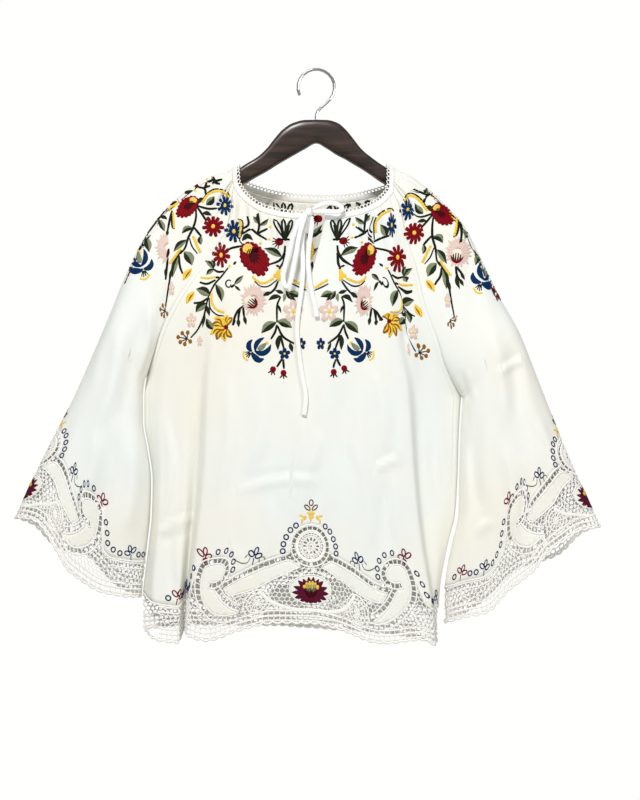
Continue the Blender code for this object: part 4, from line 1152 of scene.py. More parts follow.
def patchMesh(polygon, spacing):
    # A flat patch filled with points, so that it can follow the cloth
    polygon = np.asarray(polygon, float)
    low, high = polygon.min(0), polygon.max(0)
    gx, gy = np.meshgrid(np.arange(low[0], high[0], spacing), np.arange(low[1], high[1], spacing))
    fill = np.stack([gx.ravel(), gy.ravel()], 1)
    rim = distanceTo(fill, np.concatenate([polygon, polygon[:1]]))
    inner = fill[insideOf(fill, polygon) & (rim > spacing * 0.45)]
    points = np.concatenate([polygon, inner])
    border = [(i, (i + 1) % len(polygon)) for i in range(len(polygon))]
    out = delaunay_2d_cdt([Vector(p) for p in points], border, [], 1, 1e-5)
    verts = np.array([tuple(v) for v in out[0]])
    faces = np.array([f[::-1] if area(verts[list(f)]) < 0 else list(f) for f in out[2] if len(f) == 3])
    return verts, faces


def area(p):
    return 0.5 * ((p[1][0] - p[0][0]) * (p[2][1] - p[0][1]) - (p[2][0] - p[0][0]) * (p[1][1] - p[0][1]))


flatThreads, flatPatches, flatLadders, flatTapes = drawLace()


def freeOfPattern(points):
    # Where the net may go: below the seam, above the edge, off the cloth, ladders, tapes and webs
    top = seamHeight(points[:, 0])
    free = (points[:, 1] < top - 0.8) & (points[:, 1] > lace["rowHigh"][1] + 0.9)
    for patch in flatPatches:
        free &= ~insideOf(points, patch)
    for line, half, _ in flatLadders:
        free &= distanceTo(points, line) > half + 0.7
    for line, half in flatTapes:
        free &= distanceTo(points, line) > half * 0.8
    for sign in (1, -1):
        free &= np.linalg.norm(points - np.array(web["centre"]) * (sign, 1), axis=1) > web["ladder"][1]
    free &= np.linalg.norm(points - np.array(medallion["centre"]), axis=1) > medallion["ladder"][1]
    return free


netLines = netThreads(freeOfPattern, lace["reach"], 130)
print("lace drawn:", len(netLines), "net bars")


def scallopLine(start, end):
    count = max(2, round((end - start) / lace["scallop"]))
    t = np.linspace(0, count, count * 6 + 1)
    dip = np.abs(np.sin(math.pi * t))
    return np.stack([start + (end - start) * t / count, 2.6 - lace["scallopDepth"] * dip], 1)


def clipLine(line, low, high):
    # The stretches of a flat line between two distances
    keep = (line[:, 0] >= low) & (line[:, 0] <= high)
    pieces, start = [], None
    for i, ok in enumerate(np.append(keep, False)):
        if ok and start is None:
            start = i
        if not ok and start is not None:
            if i - start > 1:
                pieces.append(line[start:i])
            start = None
    return pieces


def makeLace(name, place, low, high):
    # The whole pattern laid on one hem or cuff, between two distances
    # Threads behind are drawn a little heavier, so that the front's holes show shade and not the room
    lines = []

    def thread(line, radius, lift=0.0):
        for part in clipLine(line, low, high):
            behind = name == "hem_lace_back_work" or (name.startswith("cuff") and part[:, 0].mean() > 8)
            lines.append((onCloth(place, part, np.full(len(part), lift)),
                          radius * (lace["behind"] if behind else 1)))

    for line, radius in flatThreads + netLines:
        thread(line, radius)
    for line, half, closed in flatLadders:
        bars, cords = ladderThreads(line, half, closed, lace["pitch"])
        for bar, radius in bars:
            thread(bar, radius)
        for cord, radius in cords:
            thread(cord, radius, 0.15)
    for patch in flatPatches:
        thread(np.concatenate([patch, patch[:1]]), 0.95, 0.3)
    edge = np.arange(low, high + 0.5, 1.5)
    edge[-1] = high
    steep = np.stack([edge, seamHeight(edge)], 1)
    thread(steep, 1.3, 0.25)
    thread(scallopLine(low, high), 1.5, 0.0)
    thread(np.stack([edge, np.full(len(edge), 3.4)], 1), 0.9, 0.0)
    made = [makeThreads(name + "_threads", lines, laceThread)]
    for patch in flatPatches:
        clipped = np.stack([np.clip(patch[:, 0], low, high), patch[:, 1]], 1)
        if np.ptp(clipped[:, 0]) < 2:
            continue
        keep = np.linalg.norm(clipped - np.roll(clipped, 1, axis=0), axis=1) > 0.05
        verts, faces = patchMesh(clipped[keep], 4.0)
        points = onCloth(place, verts)
        if place["turn"] < 0:
            faces = faces[:, ::-1]
        shell, allFaces, uv = shellOf(points, faces, lace["cloth"], verts)
        made.append(makePiece(name + "_patch", shell, allFaces, [cotton], uv=uv))
    for line, half in flatTapes:
        for part in clipLine(line, low, high):
            points, heights, faces = ribbon(part, half, 0.75)
            if place["turn"] < 0:
                faces = [face[::-1] for face in faces]
            made.append(makePiece(name + "_tape", onCloth(place, points, heights), faces, [laceThread]))
    piece = joinPieces(name, made)
    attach(piece, "root")
    print(name, "made:", len(piece.data.polygons), "faces")
    return piece


laceFront = makeLace("hem_lace_front_work", maps["front"], maps["front"]["a0"], maps["front"]["a1"])
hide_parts("hem_lace_front")
laceBack = makeLace("hem_lace_back_work", maps["back"], maps["back"]["a0"], maps["back"]["a1"])
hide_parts("hem_lace_back")
for hand in ("left", "right"):
    makeLace("cuff_lace_" + hand + "_work", maps[hand], maps[hand]["a0"], maps[hand]["a1"])
    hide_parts("cuff_lace_" + hand + "_front", "cuff_lace_" + hand + "_back")

# Neckline

neckline = {"low": 0.4, "high": 7.0, "wall": 1.9, "picot": 5.5}


def neckRing(count):
    # The panels' upper edges in order, from the slit's left side round the back to its right side
    frontLeft = np.linspace(slitMiddle - slitHalf, 0, 5 * count)
    frontRight = np.linspace(1, slitMiddle + slitHalf, 5 * count)
    over = np.linspace(0, 2, 4 * count)
    across = np.linspace(0, 1, 8 * count)
    parts = [
        frontAt(frontLeft, np.zeros(len(frontLeft))),
        sleeveAt("left", over, np.zeros(len(over)))[1:],
        backAt(across, np.zeros(len(across)))[1:],
        sleeveAt("right", over[::-1], np.zeros(len(over)))[1:],
        frontAt(frontRight, np.zeros(len(frontRight)))[1:],
    ]
    return np.concatenate(parts)


def outwardOf(ring, rise):
    along = np.gradient(ring, axis=0)
    out = np.cross(along, rise)
    out /= np.linalg.norm(out, axis=1, keepdims=True)
    middle = np.array([neckMiddle, 0, 0])
    flip = np.sign(np.sum(out[:, :2] * (ring - middle)[:, :2], axis=1).mean())
    return out * flip


def sweepRing(ring, rise, out, profile, name, material):
    # profile: (height up the rise, distance out) round a closed section
    count, n = len(profile), len(ring)
    points = np.stack([ring + rise * up + out * aside for up, aside in profile], 1).reshape(-1, 3)
    faces = []
    for i in range(n - 1):
        for k in range(count):
            a, b = i * count + k, i * count + (k + 1) % count
            faces.append((a, a + count, b + count, b))
    faces += [tuple(range(count)), tuple((n - 1) * count + k for k in range(count - 1, -1, -1))]
    run = lengthsAlong(ring)
    turned = lengthsAlong(np.array(profile))
    uv = np.stack([np.repeat(run, count), np.tile(turned, n)], 1)
    return makePiece(name, points, faces, [material], uv=uv)


ring = neckRing(12)
rise = neckRise(ring)
out = outwardOf(ring, rise)
low, high, wall = neckline["low"], neckline["high"], neckline["wall"]
bindingProfile = [(low, 0.35 * wall), (low + 0.7, 0.5 * wall), (low + 3.2, 0.56 * wall),
                  (high - 1.0, 0.52 * wall), (high - 0.2, 0.3 * wall), (high, 0.0), (high - 0.2, -0.3 * wall),
                  (high - 1.0, -0.5 * wall), (low + 3.2, -0.54 * wall), (low + 0.7, -0.48 * wall),
                  (low, -0.3 * wall)]
binding = sweepRing(ring, rise, out, bindingProfile, "binding_strip", brightStripCottonPaintedLit)
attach(binding, "root")
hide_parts("neck_binding")
ringRun = lengthsAlong(ring)
picotCount = round(ringRun[-1] / neckline["picot"])
picotLines = []


def alongRing(at, up, aside=0.0):
    point, lift, side = (readLine(at, ringRun, line) for line in (ring, rise, out))
    return point + lift * np.reshape(up, (-1, 1)) + side * np.reshape(aside, (-1, 1))


pitch = ringRun[-1] / picotCount
for i in range(picotCount):
    t = np.array([0, 0.06, 0.16, 0.3, 0.5, 0.7, 0.84, 0.94, 1])
    picotLines.append((alongRing((i + t) * pitch, 7.2 + 4.5 * np.sin(math.pi * t) ** 0.5), 0.64))
even = np.linspace(0, ringRun[-1], 3 * picotCount)
picotLines.append((alongRing(even, 7.1), 0.6))
edging = makeThreads("picot_edging", picotLines, laceThread, 6)
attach(edging, "root")
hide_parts("neck_edging")
print("neckline made")

# Ties: flat folded strips with their knot, on the solids' own routes

tie = {"width": 6.0, "thick": 1.3, "step": 2.5}


def makeTie(name):
    route = smoothRoute(tieRoutes[name], tie["step"])
    along = np.gradient(route, axis=0)
    along /= np.linalg.norm(along, axis=1, keepdims=True)
    wide = np.cross(along, (0.0, 1.0, 0.0))
    wide /= np.linalg.norm(wide, axis=1, keepdims=True)
    thick = np.cross(wide, along)
    run = lengthsAlong(route)
    fromKnot = np.minimum(run, run[-1] - run) if name.endswith("loop") else run
    half = (tie["width"] / 2 * (0.5 + 0.5 * smoothStep(fromKnot / 12)))[:, None]
    cup = 0.25 * np.sin(run / 23.0)[:, None]
    section = [(-1, 0), (-0.93, 0.42), (-0.5, 0.5), (0.5, 0.5), (0.93, 0.42), (1, 0), (0.93, -0.42),
               (0.5, -0.5), (-0.5, -0.5), (-0.93, -0.42)]
    rows = [route + wide * half * a + thick * (b * tie["thick"] + cup * (a * a - 0.4)) for a, b in section]
    count, n = len(section), len(route)
    points = np.stack(rows, 1).reshape(-1, 3)
    uv = np.stack([np.tile([a * 3 for a, _ in section], n), np.repeat(run, count)], 1)
    piece = makePiece(name + "_strip", points, tubeFaces(n, count), [brightStripCottonPaintedLit], uv=uv)
    faceOutwards(piece)
    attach(piece, "root")
    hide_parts(name)
    return run[-1]


def faceOutwards(piece):
    mesh = bmesh.new()
    mesh.from_mesh(piece.data)
    bmesh.ops.recalc_face_normals(mesh, faces=mesh.faces)
    mesh.to_mesh(piece.data)
    mesh.free()


for name in tieRoutes:
    print(name, round(makeTie(name)), "mm")


def makeKnot():
    # A small tight knot: a rounded body crossed by two folded turns of the strip
    centre, half = np.array((-9.2, -46.6, -190.5)), np.array((6.2, 4.8, 5.8))
    turns, sides = 26, 30
    tilt, turn = np.meshgrid(np.linspace(0, math.pi, turns), np.linspace(0, 2 * math.pi, sides,
                                                                         endpoint=False), indexing="ij")
    unit = np.stack([np.sin(tilt) * np.cos(turn), np.sin(tilt) * np.sin(turn), np.cos(tilt)], 2)
    slant = unit @ np.array([0.8, 0.0, 0.6])
    grooves = 1 - 0.10 * np.exp(-((slant - 0.28) / 0.09) ** 2) - 0.10 * np.exp(-((slant + 0.35) / 0.09) ** 2)
    points = (unit * grooves[..., None] * half + centre).reshape(-1, 3)
    i, j = np.meshgrid(np.arange(turns - 1), np.arange(sides), indexing="ij")
    a, b = (i * sides + j).ravel(), (i * sides + (j + 1) % sides).ravel()
    faces = np.stack([a, a + sides, b + sides, b], 1).tolist()
    piece = makePiece("knot_turns", points, faces, [brightStripCottonPaintedLit], uv=points[:, (0, 2)])
    mesh = bmesh.new()
    mesh.from_mesh(piece.data)
    bmesh.ops.remove_doubles(mesh, verts=mesh.verts, dist=1e-6)
    bmesh.ops.recalc_face_normals(mesh, faces=mesh.faces)
    mesh.to_mesh(piece.data)
    mesh.free()
    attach(piece, "root")
    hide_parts("tie_knot")


makeKnot()

# Hanger


def woodMaterial():
    # Beech stained walnut brown under satin lacquer: dark, soft highlight, long fine grain
    material, tree, shader = newMaterial("walnut stained beech")
    spot = addNode(tree, "ShaderNodeTexCoord")
    stretch = addNode(tree, "ShaderNodeMapping", {"Scale": (9.0, 160.0, 160.0)},
                      {"Vector": spot.outputs["Object"]})
    grain = addNode(tree, "ShaderNodeTexNoise", {"Scale": 1.0, "Detail": 5.0, "Roughness": 0.6,
                                                 "Distortion": 0.4}, {"Vector": stretch.outputs["Vector"]})
    ramp = addNode(tree, "ShaderNodeValToRGB", links={"Fac": grain.outputs["Fac"]})
    ramp.color_ramp.elements[0].position, ramp.color_ramp.elements[1].position = 0.36, 0.66
    ramp.color_ramp.elements[0].color = linear("#1D120D")
    ramp.color_ramp.elements[1].color = linear("#412D22")
    tree.links.new(ramp.outputs["Color"], shader.inputs["Base Color"])
    bump = addNode(tree, "ShaderNodeBump", {"Strength": 0.15, "Distance": 0.0003},
                   {"Height": grain.outputs["Fac"]})
    tree.links.new(bump.outputs["Normal"], shader.inputs["Normal"])
    shader.inputs["Roughness"].default_value = 0.34
    shader.inputs["Coat Weight"].default_value = 0.15
    shader.inputs["Coat Roughness"].default_value = 0.22
    return material


def steelMaterial():
    # Polished steel wire: bright, with faint drawing lines
    material, tree, shader = newMaterial("polished steel wire")
    spot = addNode(tree, "ShaderNodeTexCoord")
    lines = addNode(tree, "ShaderNodeTexNoise", {"Scale": 900.0, "Detail": 2.0},
                    {"Vector": spot.outputs["Object"]})
    bump = addNode(tree, "ShaderNodeBump", {"Strength": 0.08, "Distance": 0.0002},
                   {"Height": lines.outputs["Fac"]})
    tree.links.new(bump.outputs["Normal"], shader.inputs["Normal"])
    shader.inputs["Base Color"].default_value = linear("#C9CACD")
    shader.inputs["Metallic"].default_value = 1.0
    shader.inputs["Roughness"].default_value = 0.22
    return material


bar = {"sides": 32, "flat": 5, "depth": 0.93}  # flat: 2 is an oval, higher is squarer


def makeBar():
    # The solid's sections, read smoothly, with flat faces and softly rounded edges
    table = np.array(barSections, float)
    x = np.concatenate([[-200], np.linspace(-199.4, 190.4, 150), [191]])
    top, bottom, half = (smoothAcross(table[:, 0], np.broadcast_to(table[:, k], (len(x), len(table))), x)
                         for k in (1, 2, 3))
    turn = 2 * math.pi * (np.arange(bar["sides"]) + 0.5) / bar["sides"]
    c, s = np.cos(turn), np.sin(turn)
    flatness = (np.abs(c) ** bar["flat"] + np.abs(s) ** bar["flat"]) ** (-1 / bar["flat"])
    points = np.stack([
        np.repeat(x, bar["sides"]).reshape(-1, bar["sides"]),
        half[:, None] * bar["depth"] * (c * flatness)[None, :],
        (top + bottom)[:, None] / 2 + (top - bottom)[:, None] / 2 * (s * flatness)[None, :]], 2)
    faces = tubeFaces(len(x), bar["sides"])
    piece = makePiece("hanger_wood", points.reshape(-1, 3), faces, [woodMaterial()])
    faceOutwards(piece)
    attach(piece, "root")
    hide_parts("hanger_bar")
    return piece


hangerBar = makeBar()
hook = bpy.data.objects["hanger_hook"]
hook.material_slots[0].material = steelMaterial()
print("hanger made")

# Embroidery: every stitched shape is a raised stroke with a curved middle line and changing width,
# drawn flat in photograph pixels (across, down) and then laid on the cloth

threadColours = {
    "red": ("#830414", "#5C030C"), "heart": ("#44070F", "#2C040A"), "blue": ("#07305C", "#041F40"),
    "yellow": ("#F3D052", "#D9A931"), "gold": ("#9C6414", "#70460D"), "dark": ("#272F1E", "#151B0F"),
    "stem": ("#1B2014", "#0F130B"), "pale": ("#858F71", "#6A7356"), "pink": ("#E2CBC1", "#D0B2A7"),
    "cream": ("#F3EAD9", "#E0D3BC"), "wine": ("#5E1230", "#400C20"), "navy": ("#1F3260", "#13203F"),
    "loop": ("#7C1B36", "#581225"), "brown": ("#60402A", "#43301D"), "straw": ("#F1D077", "#DAB251"),
    "tendril": ("#777C6D", "#5A5F52")}
threadNames = list(threadColours)
satin = [satinMaterial(key + " satin thread", *threadColours[key]) for key in threadNames]
domeProfile = ((-1.0, -0.2), (-0.88, 0.5), (-0.42, 0.95), (0.42, 0.95), (0.88, 0.5), (1.0, -0.2))


def stroke(line, widths, colour, rise=0.6, lift=0.0, along=True, step=1.9):
    # A raised shape along a smooth line; widths are half widths read evenly from start to end
    line = np.asarray(line, float)
    size = lengthsAlong(line)[-1]
    spine = smoothLine(line, size / max(2, min(16, math.ceil(size / step))))
    share = np.linspace(0, 1, len(spine))
    half = np.interp(share, np.linspace(0, 1, len(widths)), widths)
    side = leftOf(unit(np.gradient(spine, axis=0)))
    full = 0.4 + 0.6 * half / max(half.max(), 1e-6)
    points = np.stack([spine + side * (half * a)[:, None] for a, _ in domeProfile], 1).reshape(-1, 2)
    heights = np.stack([lift + rise * full * b for _, b in domeProfile], 1).ravel()
    run = share * size
    across = np.stack([half * a for a, _ in domeProfile], 1).ravel()
    down = np.repeat(run, len(domeProfile))
    uv = np.stack([across, down] if along else [down, across], 1) + 0.37 * line[0].sum()
    return [(points, heights, tubeFaces(len(spine), len(domeProfile)), colour, uv)]


def dot(x, y, rx, ry, colour, rise=0.6, lift=0.0, turn=0.0, sides=12):
    # A raised round or oval shape
    angles = 2 * math.pi * np.arange(sides) / sides
    rows = ((1.0, -0.2), (0.93, 0.5), (0.6, 0.9))
    flat = [np.stack([np.cos(angles) * rx * s, np.sin(angles) * ry * s], 1) for s, _ in rows]
    flat += [np.zeros((1, 2))]
    heights = np.concatenate([np.full(sides, lift + rise * h) for _, h in rows] + [[lift + rise]])
    local = np.concatenate(flat)
    c, s = math.cos(math.radians(turn)), math.sin(math.radians(turn))
    points = local @ np.array([[c, s], [-s, c]]) + (x, y)
    faces = [tuple(range(sides - 1, -1, -1))]
    for r in range(2):
        for k in range(sides):
            a, b = r * sides + k, r * sides + (k + 1) % sides
            faces.append((a, b, b + sides, a + sides))
    faces += [(2 * sides + k, 2 * sides + (k + 1) % sides, 3 * sides) for k in range(sides)]
    return [(points, heights, faces, colour, local + 0.37 * (x + y))]


def moved(shapes, x, y, wide=1.0, tall=1.0, turn=0.0):
    # Shapes drawn round the origin, scaled, turned clockwise and put in their place
    c, s = math.cos(math.radians(turn)), math.sin(math.radians(turn))
    spin = np.array([[c, s], [-s, c]])
    return [(p * (wide, tall) @ spin + (x, y), h, f, colour, uv) for p, h, f, colour, uv in shapes]


def rays(count, inner, outer, widths, colour, first=0.0, span=360.0, rise=0.6, lift=0.0, uneven=0.0):
    made = []
    for k in range(count):
        turn = math.radians(first + span * k / (count if span >= 360 else count - 1))
        reach = outer * (1 + uneven * math.sin(2.6 * k + first))
        ray = aim(turn)
        made += stroke([ray * inner, ray * (inner + reach) / 2, ray * reach], widths, colour, rise, lift)
    return made


def daisy(colour, count=11, size=8.5):
    w = 0.2 * size
    return (rays(count, 0.12 * size, size, (0.4 * w, 0.62 * w, 0.86 * w, w, 0.72 * w), colour, 8, uneven=0.07)
            + dot(0, 0, 0.3 * size, 0.3 * size, colour, 0.45)
            + dot(0, 0, 0.2 * size, 0.22 * size, "yellow", 0.7, 0.25))


def leaf(x0, y0, x1, y1, wide, bend=0.12, dark=1, tones=2):
    # A pointed leaf; the dark half lies on one side of the middle
    start, end = np.array((x0, y0), float), np.array((x1, y1), float)
    along = end - start
    side = np.array([-along[1], along[0]])
    middle = (start + end) / 2 + side * bend
    unit = side / np.linalg.norm(side)
    shape = np.array((0.14, 0.66, 1.0, 1.04, 0.84, 0.46, 0.08)) * wide * 0.58
    if tones == 1:
        return stroke([start, middle, end], shape, "dark" if dark else "pale", 0.55, along=False)
    off = unit * wide * 0.2 * (1 if dark >= 0 else -1)
    return (stroke([start, middle - off * 0.9, end], shape * 0.68, "pale", 0.5, along=False)
            + stroke([start, middle + off, end], shape * 0.66, "dark", 0.6, along=False))


def stem(*places, wide=1.25):
    return stroke(places, (wide * 0.8, wide, wide, wide * 0.75), "stem", 0.5, along=False, step=2.6)


def beads(places, size=1.3, gap=2.3, colour="yellow"):
    line = smoothLine(places, gap)
    made = stroke(places, (size * 0.7, size * 0.8, size * 0.7), colour, 0.45, along=False, step=2.6)
    for k, (x, y) in enumerate(line):
        made += dot(x, y, size * (1 + 0.12 * math.sin(3.1 * k)), size, colour, 0.65, 0.05, sides=8)
    return made


def arc(yellow, dark, size=1.5):
    return beads(yellow, size) + stem(*dark, wide=0.8)


def poppy():
    # Centre at the origin, the yellow eye to the upper left, half sizes about 14 by 17
    made = dot(0, -1, 11.5, 12.5, "red", 0.25, 0.0, -24, 24)
    heart = np.array((-5.0, -8.0))
    upper = ((-14.6, -6.0), (-15, -10.6), (-12.2, -15.4), (-7.4, -17.9), (-2.2, -17.6), (2.6, -15.4),
             (6.8, -11.6), (10.2, -7.6))
    lower = ((12.8, -3.6), (14.6, 0.8), (14.8, 5.8), (13.0, 11.2), (9.6, 15.8), (4.8, 16.4), (-0.2, 14.0),
             (-5.2, 10.8), (-9.6, 7.2), (-12.8, 3.0), (-14.4, -1.6))
    for tip in upper + lower:
        tip = np.array(tip)
        wide = (1.2, 2.0, 2.7, 2.7, 1.5) if tip[1] < -5 else (1.0, 2.0, 2.9, 3.1, 1.7)
        made += stroke([heart + (tip - heart) * 0.28, heart + (tip - heart) * 0.65, tip], wide, "red", 0.65,
                       0.1)
    for x, y in ((5.2, -4.2), (5.8, 0.2), (3.8, 3.8), (0.4, 5.4), (-3.2, 3.8)):
        made += stroke([heart + (1.5, 1.5), (x, y)], (1.6, 1.9, 0.4), "heart", 0.5, 0.42)
    made += dot(-6.6, -10.2, 4.6, 4.2, "yellow", 0.45, 0.4, -30)
    made += stroke([(-10.4, -7.4), (-10, -12.4), (-5.4, -14.6), (-2.2, -12.2)], (1.0, 1.8, 1.8, 0.9), "straw",
                   0.5, 0.55, along=False)
    for k in range(4):
        made += stroke([(-7.6 + 2.0 * k, -6.2 - 0.5 * k), (-5.6 + 1.7 * k, -10.4 - 0.4 * k)], (0.6, 0.5),
                       "stem", 0.5, 0.8)
    return made


def tulip():
    # Stem end at the top, stamens at the lower right, half sizes about 12 by 14
    made = stroke([(-12.3, 3.6), (-9.6, 8.2), (-4.6, 8.9), (0, 8.0), (1.6, 6.6)], (0.6, 2.9, 3.5, 2.8, 0.8),
                  "blue")
    made += stroke([(10.4, -2.9), (10.3, 2.2), (7.2, 6.0), (2.4, 6.8)], (0.5, 2.5, 3.0, 1.0), "blue")
    made += stroke([(-7.4, -12.4), (-9.2, -6.5), (-8, -0.4), (-4, 3.0), (0.6, 4.0)],
                   (0.4, 2.4, 3.0, 2.7, 0.9), "blue")
    made += stroke([(2.6, -13), (4.2, -8), (4.2, -3), (2.4, 1), (0.2, 3.8)], (0.4, 2.0, 2.7, 2.4, 0.8),
                   "blue")
    made += stroke([(-2.9, -9.6), (-2.3, -4), (-1.4, 0.8)], (1.0, 2.4, 2.9, 1.6), "pale", 0.6, 0.12)
    made += dot(-3.1, -11, 1.9, 1.5, "yellow", 0.6, 0.2)
    for tip in ((0.4, 14.4), (2.6, 15.0), (4.9, 13.9), (6.8, 12.2)):
        made += stroke([(1.6 + 0.35 * tip[0], 8.6), tip], (0.7, 0.5), "stem", 0.5)
    return made + beads([(-0.2, 16.4), (2.8, 17.2), (5.8, 15.8), (8.2, 12.8)], 1.2, 2.0)


def cornflower(first=0.0, span=360.0):
    # Pale pink thin petals round a cream eye with a wine crescent and dark strokes
    made = rays(24 if span >= 360 else 13, 3.5, 13.2, (0.6, 1.15, 1.6, 1.35, 0.3), "pink", first, span, 0.5,
                uneven=0.12)
    made += rays(15 if span >= 360 else 9, 3.0, 8.2, (0.8, 1.0, 0.3), "pink", first + 9, span, 0.5, 0.18)
    return made


def cornflowerEye(x, y, turn, wide=1.0):
    made = dot(0, -2.2, 5.6, 5.2, "cream", 0.5, 0.3)
    made += stroke([(-6.4, 0.4), (-3.4, 4.8), (0, 6.2), (3.4, 4.8), (6.4, 0.4)], (0.4, 1.3, 1.6, 1.3, 0.4),
                   "red", 0.5, 0.45, along=False)
    for tip in ((-3.7, -1.4), (-1.4, -2.6), (1.2, -2.8), (3.5, -1.6)):
        made += stroke([(tip[0] * 0.9, 4.4), tip], (0.85, 0.55), "dark", 0.5, 0.6)
    return moved(made, x, y, wide, 1.0, turn)


def blossom(size, colour="pink", centre="yellow"):
    # Five or so broad petals, paler towards the middle
    made = rays(5, 0.15 * size, size, (0.16 * size, 0.33 * size, 0.38 * size, 0.2 * size), colour, -90,
                rise=0.5)
    if colour == "pink":
        made += rays(5, 0.1 * size, 0.62 * size, (0.1 * size, 0.17 * size, 0.05 * size), "cream", -90,
                     rise=0.5, lift=0.15)
    return made + dot(0, 0, 0.2 * size, 0.2 * size, centre, 0.6, 0.3)


def thistle():
    made = dot(0, 0, 4.4, 4.0, "red", 0.6)
    for turn in (100, 128, 156, 184, 212):
        ray = aim(math.radians(turn))
        made += stroke([ray * 4.0, ray * 7.2], (0.6, 0.5), "stem", 0.5)
    return made + stroke([(-2.6, -1.2), (1.2, 2.4)], (0.6, 0.4), "heart", 0.4, 0.35)


def bud(turn, x, y):
    # A gold bud with a brown slit
    made = stroke([(0, -7.4), (-0.6, 0), (0, 7.2)], (0.4, 2.7, 3.6, 2.6, 0.5), "yellow", 0.6)
    made += stroke([(0.4, -5.2), (0, 0), (0.5, 4.2)], (0.3, 1.0, 0.3), "gold", 0.5, 0.35)
    return moved(made, x, y, 1, 1, turn)


def redBud(x, y, turn=0.0):
    made = dot(0, 0, 3.1, 3.2, "red", 0.6)
    for end in ((-3.6, 5.0), (0.2, 6.0), (3.6, 4.6)):
        made += stroke([(end[0] * 0.4, 2.6), end], (0.9, 0.5), "stem", 0.5)
    return moved(made, x, y, 1, 1, turn)


def berries(x, y):
    made = []
    for px, py in ((-3.5, -5), (2, -5.5), (-5.5, 4), (-1, 6), (4.5, 3.4), (-7.6, -1)):
        made += stem((px * 0.85, py * 0.85), (1.5, 0.5), wide=0.55) + dot(px, py, 1.9, 2.3, "gold", 0.6)
    return moved(made, x, y)


def goldFlower():
    # Striped gold and brown petals opening to the left from a small red heart
    made = []
    tips = ((1.5, -12.5), (6, -9.5), (-12.5, -9.5), (-14.6, -2.5), (-15.5, 7.5), (-9.5, 12.5), (-1, 14.2),
            (5.6, 10.2))
    for k, (x, y) in enumerate(tips):
        bend = np.array((-y, x)) * (0.12 if k > 1 else -0.1)
        colour, other = ("gold", "yellow") if k % 2 else ("yellow", "gold")
        made += stroke([(0.12 * x, 0.12 * y), (0.58 * x + bend[0], 0.58 * y + bend[1]), (x, y)],
                       (0.9, 2.3, 3.3, 2.8, 0.8), colour, 0.6)
        made += stroke([(0.3 * x, 0.3 * y), (0.6 * x + bend[0], 0.6 * y + bend[1]), (0.86 * x, 0.86 * y)],
                       (0.3, 1.0, 1.1, 0.3), other, 0.5, 0.3)
    return made + dot(0, 0, 2.2, 2.2, "red", 0.6, 0.4)


def bellFlower():
    made = stroke([(-6, -2.5), (0, -4.6), (6, -4.0)], (0.8, 2.0, 1.9, 0.8), "yellow")
    made += stroke([(-5.6, 1.8), (0, 0.4), (5.4, -0.6)], (1.8, 1.9, 0.9), "heart", 0.6, 0.1)
    return made + stroke([(-4.4, 7.2), (0.6, 4.6), (5.8, 1.2)], (0.6, 1.8, 0.9), "yellow")


def openLoop(x0, y0, x1, y1, wide, colour, thick=0.6):
    # A narrow loop in outline
    start, end = np.array((x0, y0), float), np.array((x1, y1), float)
    side = np.array([-(end - start)[1], (end - start)[0]])
    side = side / np.linalg.norm(side) * wide / 2
    middle = start * 0.42 + end * 0.58
    top = start * 0.12 + end * 0.88
    line = [start, middle - side, top - side * 0.75, end, top + side * 0.75, middle + side, start]
    return stroke(line, (thick, thick, thick), colour, 0.5, along=False, step=1.6)


def ringOf(x, y, rx, ry, colour, thick=0.62, turn=0.0):
    angles = np.linspace(0, 2 * math.pi, 13)
    line = np.stack([np.cos(angles) * rx, np.sin(angles) * ry], 1)
    made = stroke(line, (thick, thick, thick), colour, 0.5, along=False, step=1.4)
    return moved(made, x, y, 1, 1, turn)


def bundle():
    # Three tall loops tied together above the thistle
    made = openLoop(284, 239, 273.8, 219.6, 4.0, "stem", 1.0)
    made += openLoop(284.6, 239, 283, 219.4, 3.4, "dark", 1.15)
    made += openLoop(285.4, 239, 291.6, 220.4, 4.0, "dark", 1.05)
    made += stem((284, 240), (282, 231), (280, 226), wide=1.5)
    made += stem((285, 241), (287, 231), (289, 225), wide=1.5)
    return made + stroke([(280.5, 240), (285, 239.4), (289.5, 240)], (0.9, 1.2, 0.9), "stem", 0.6, 0.3)


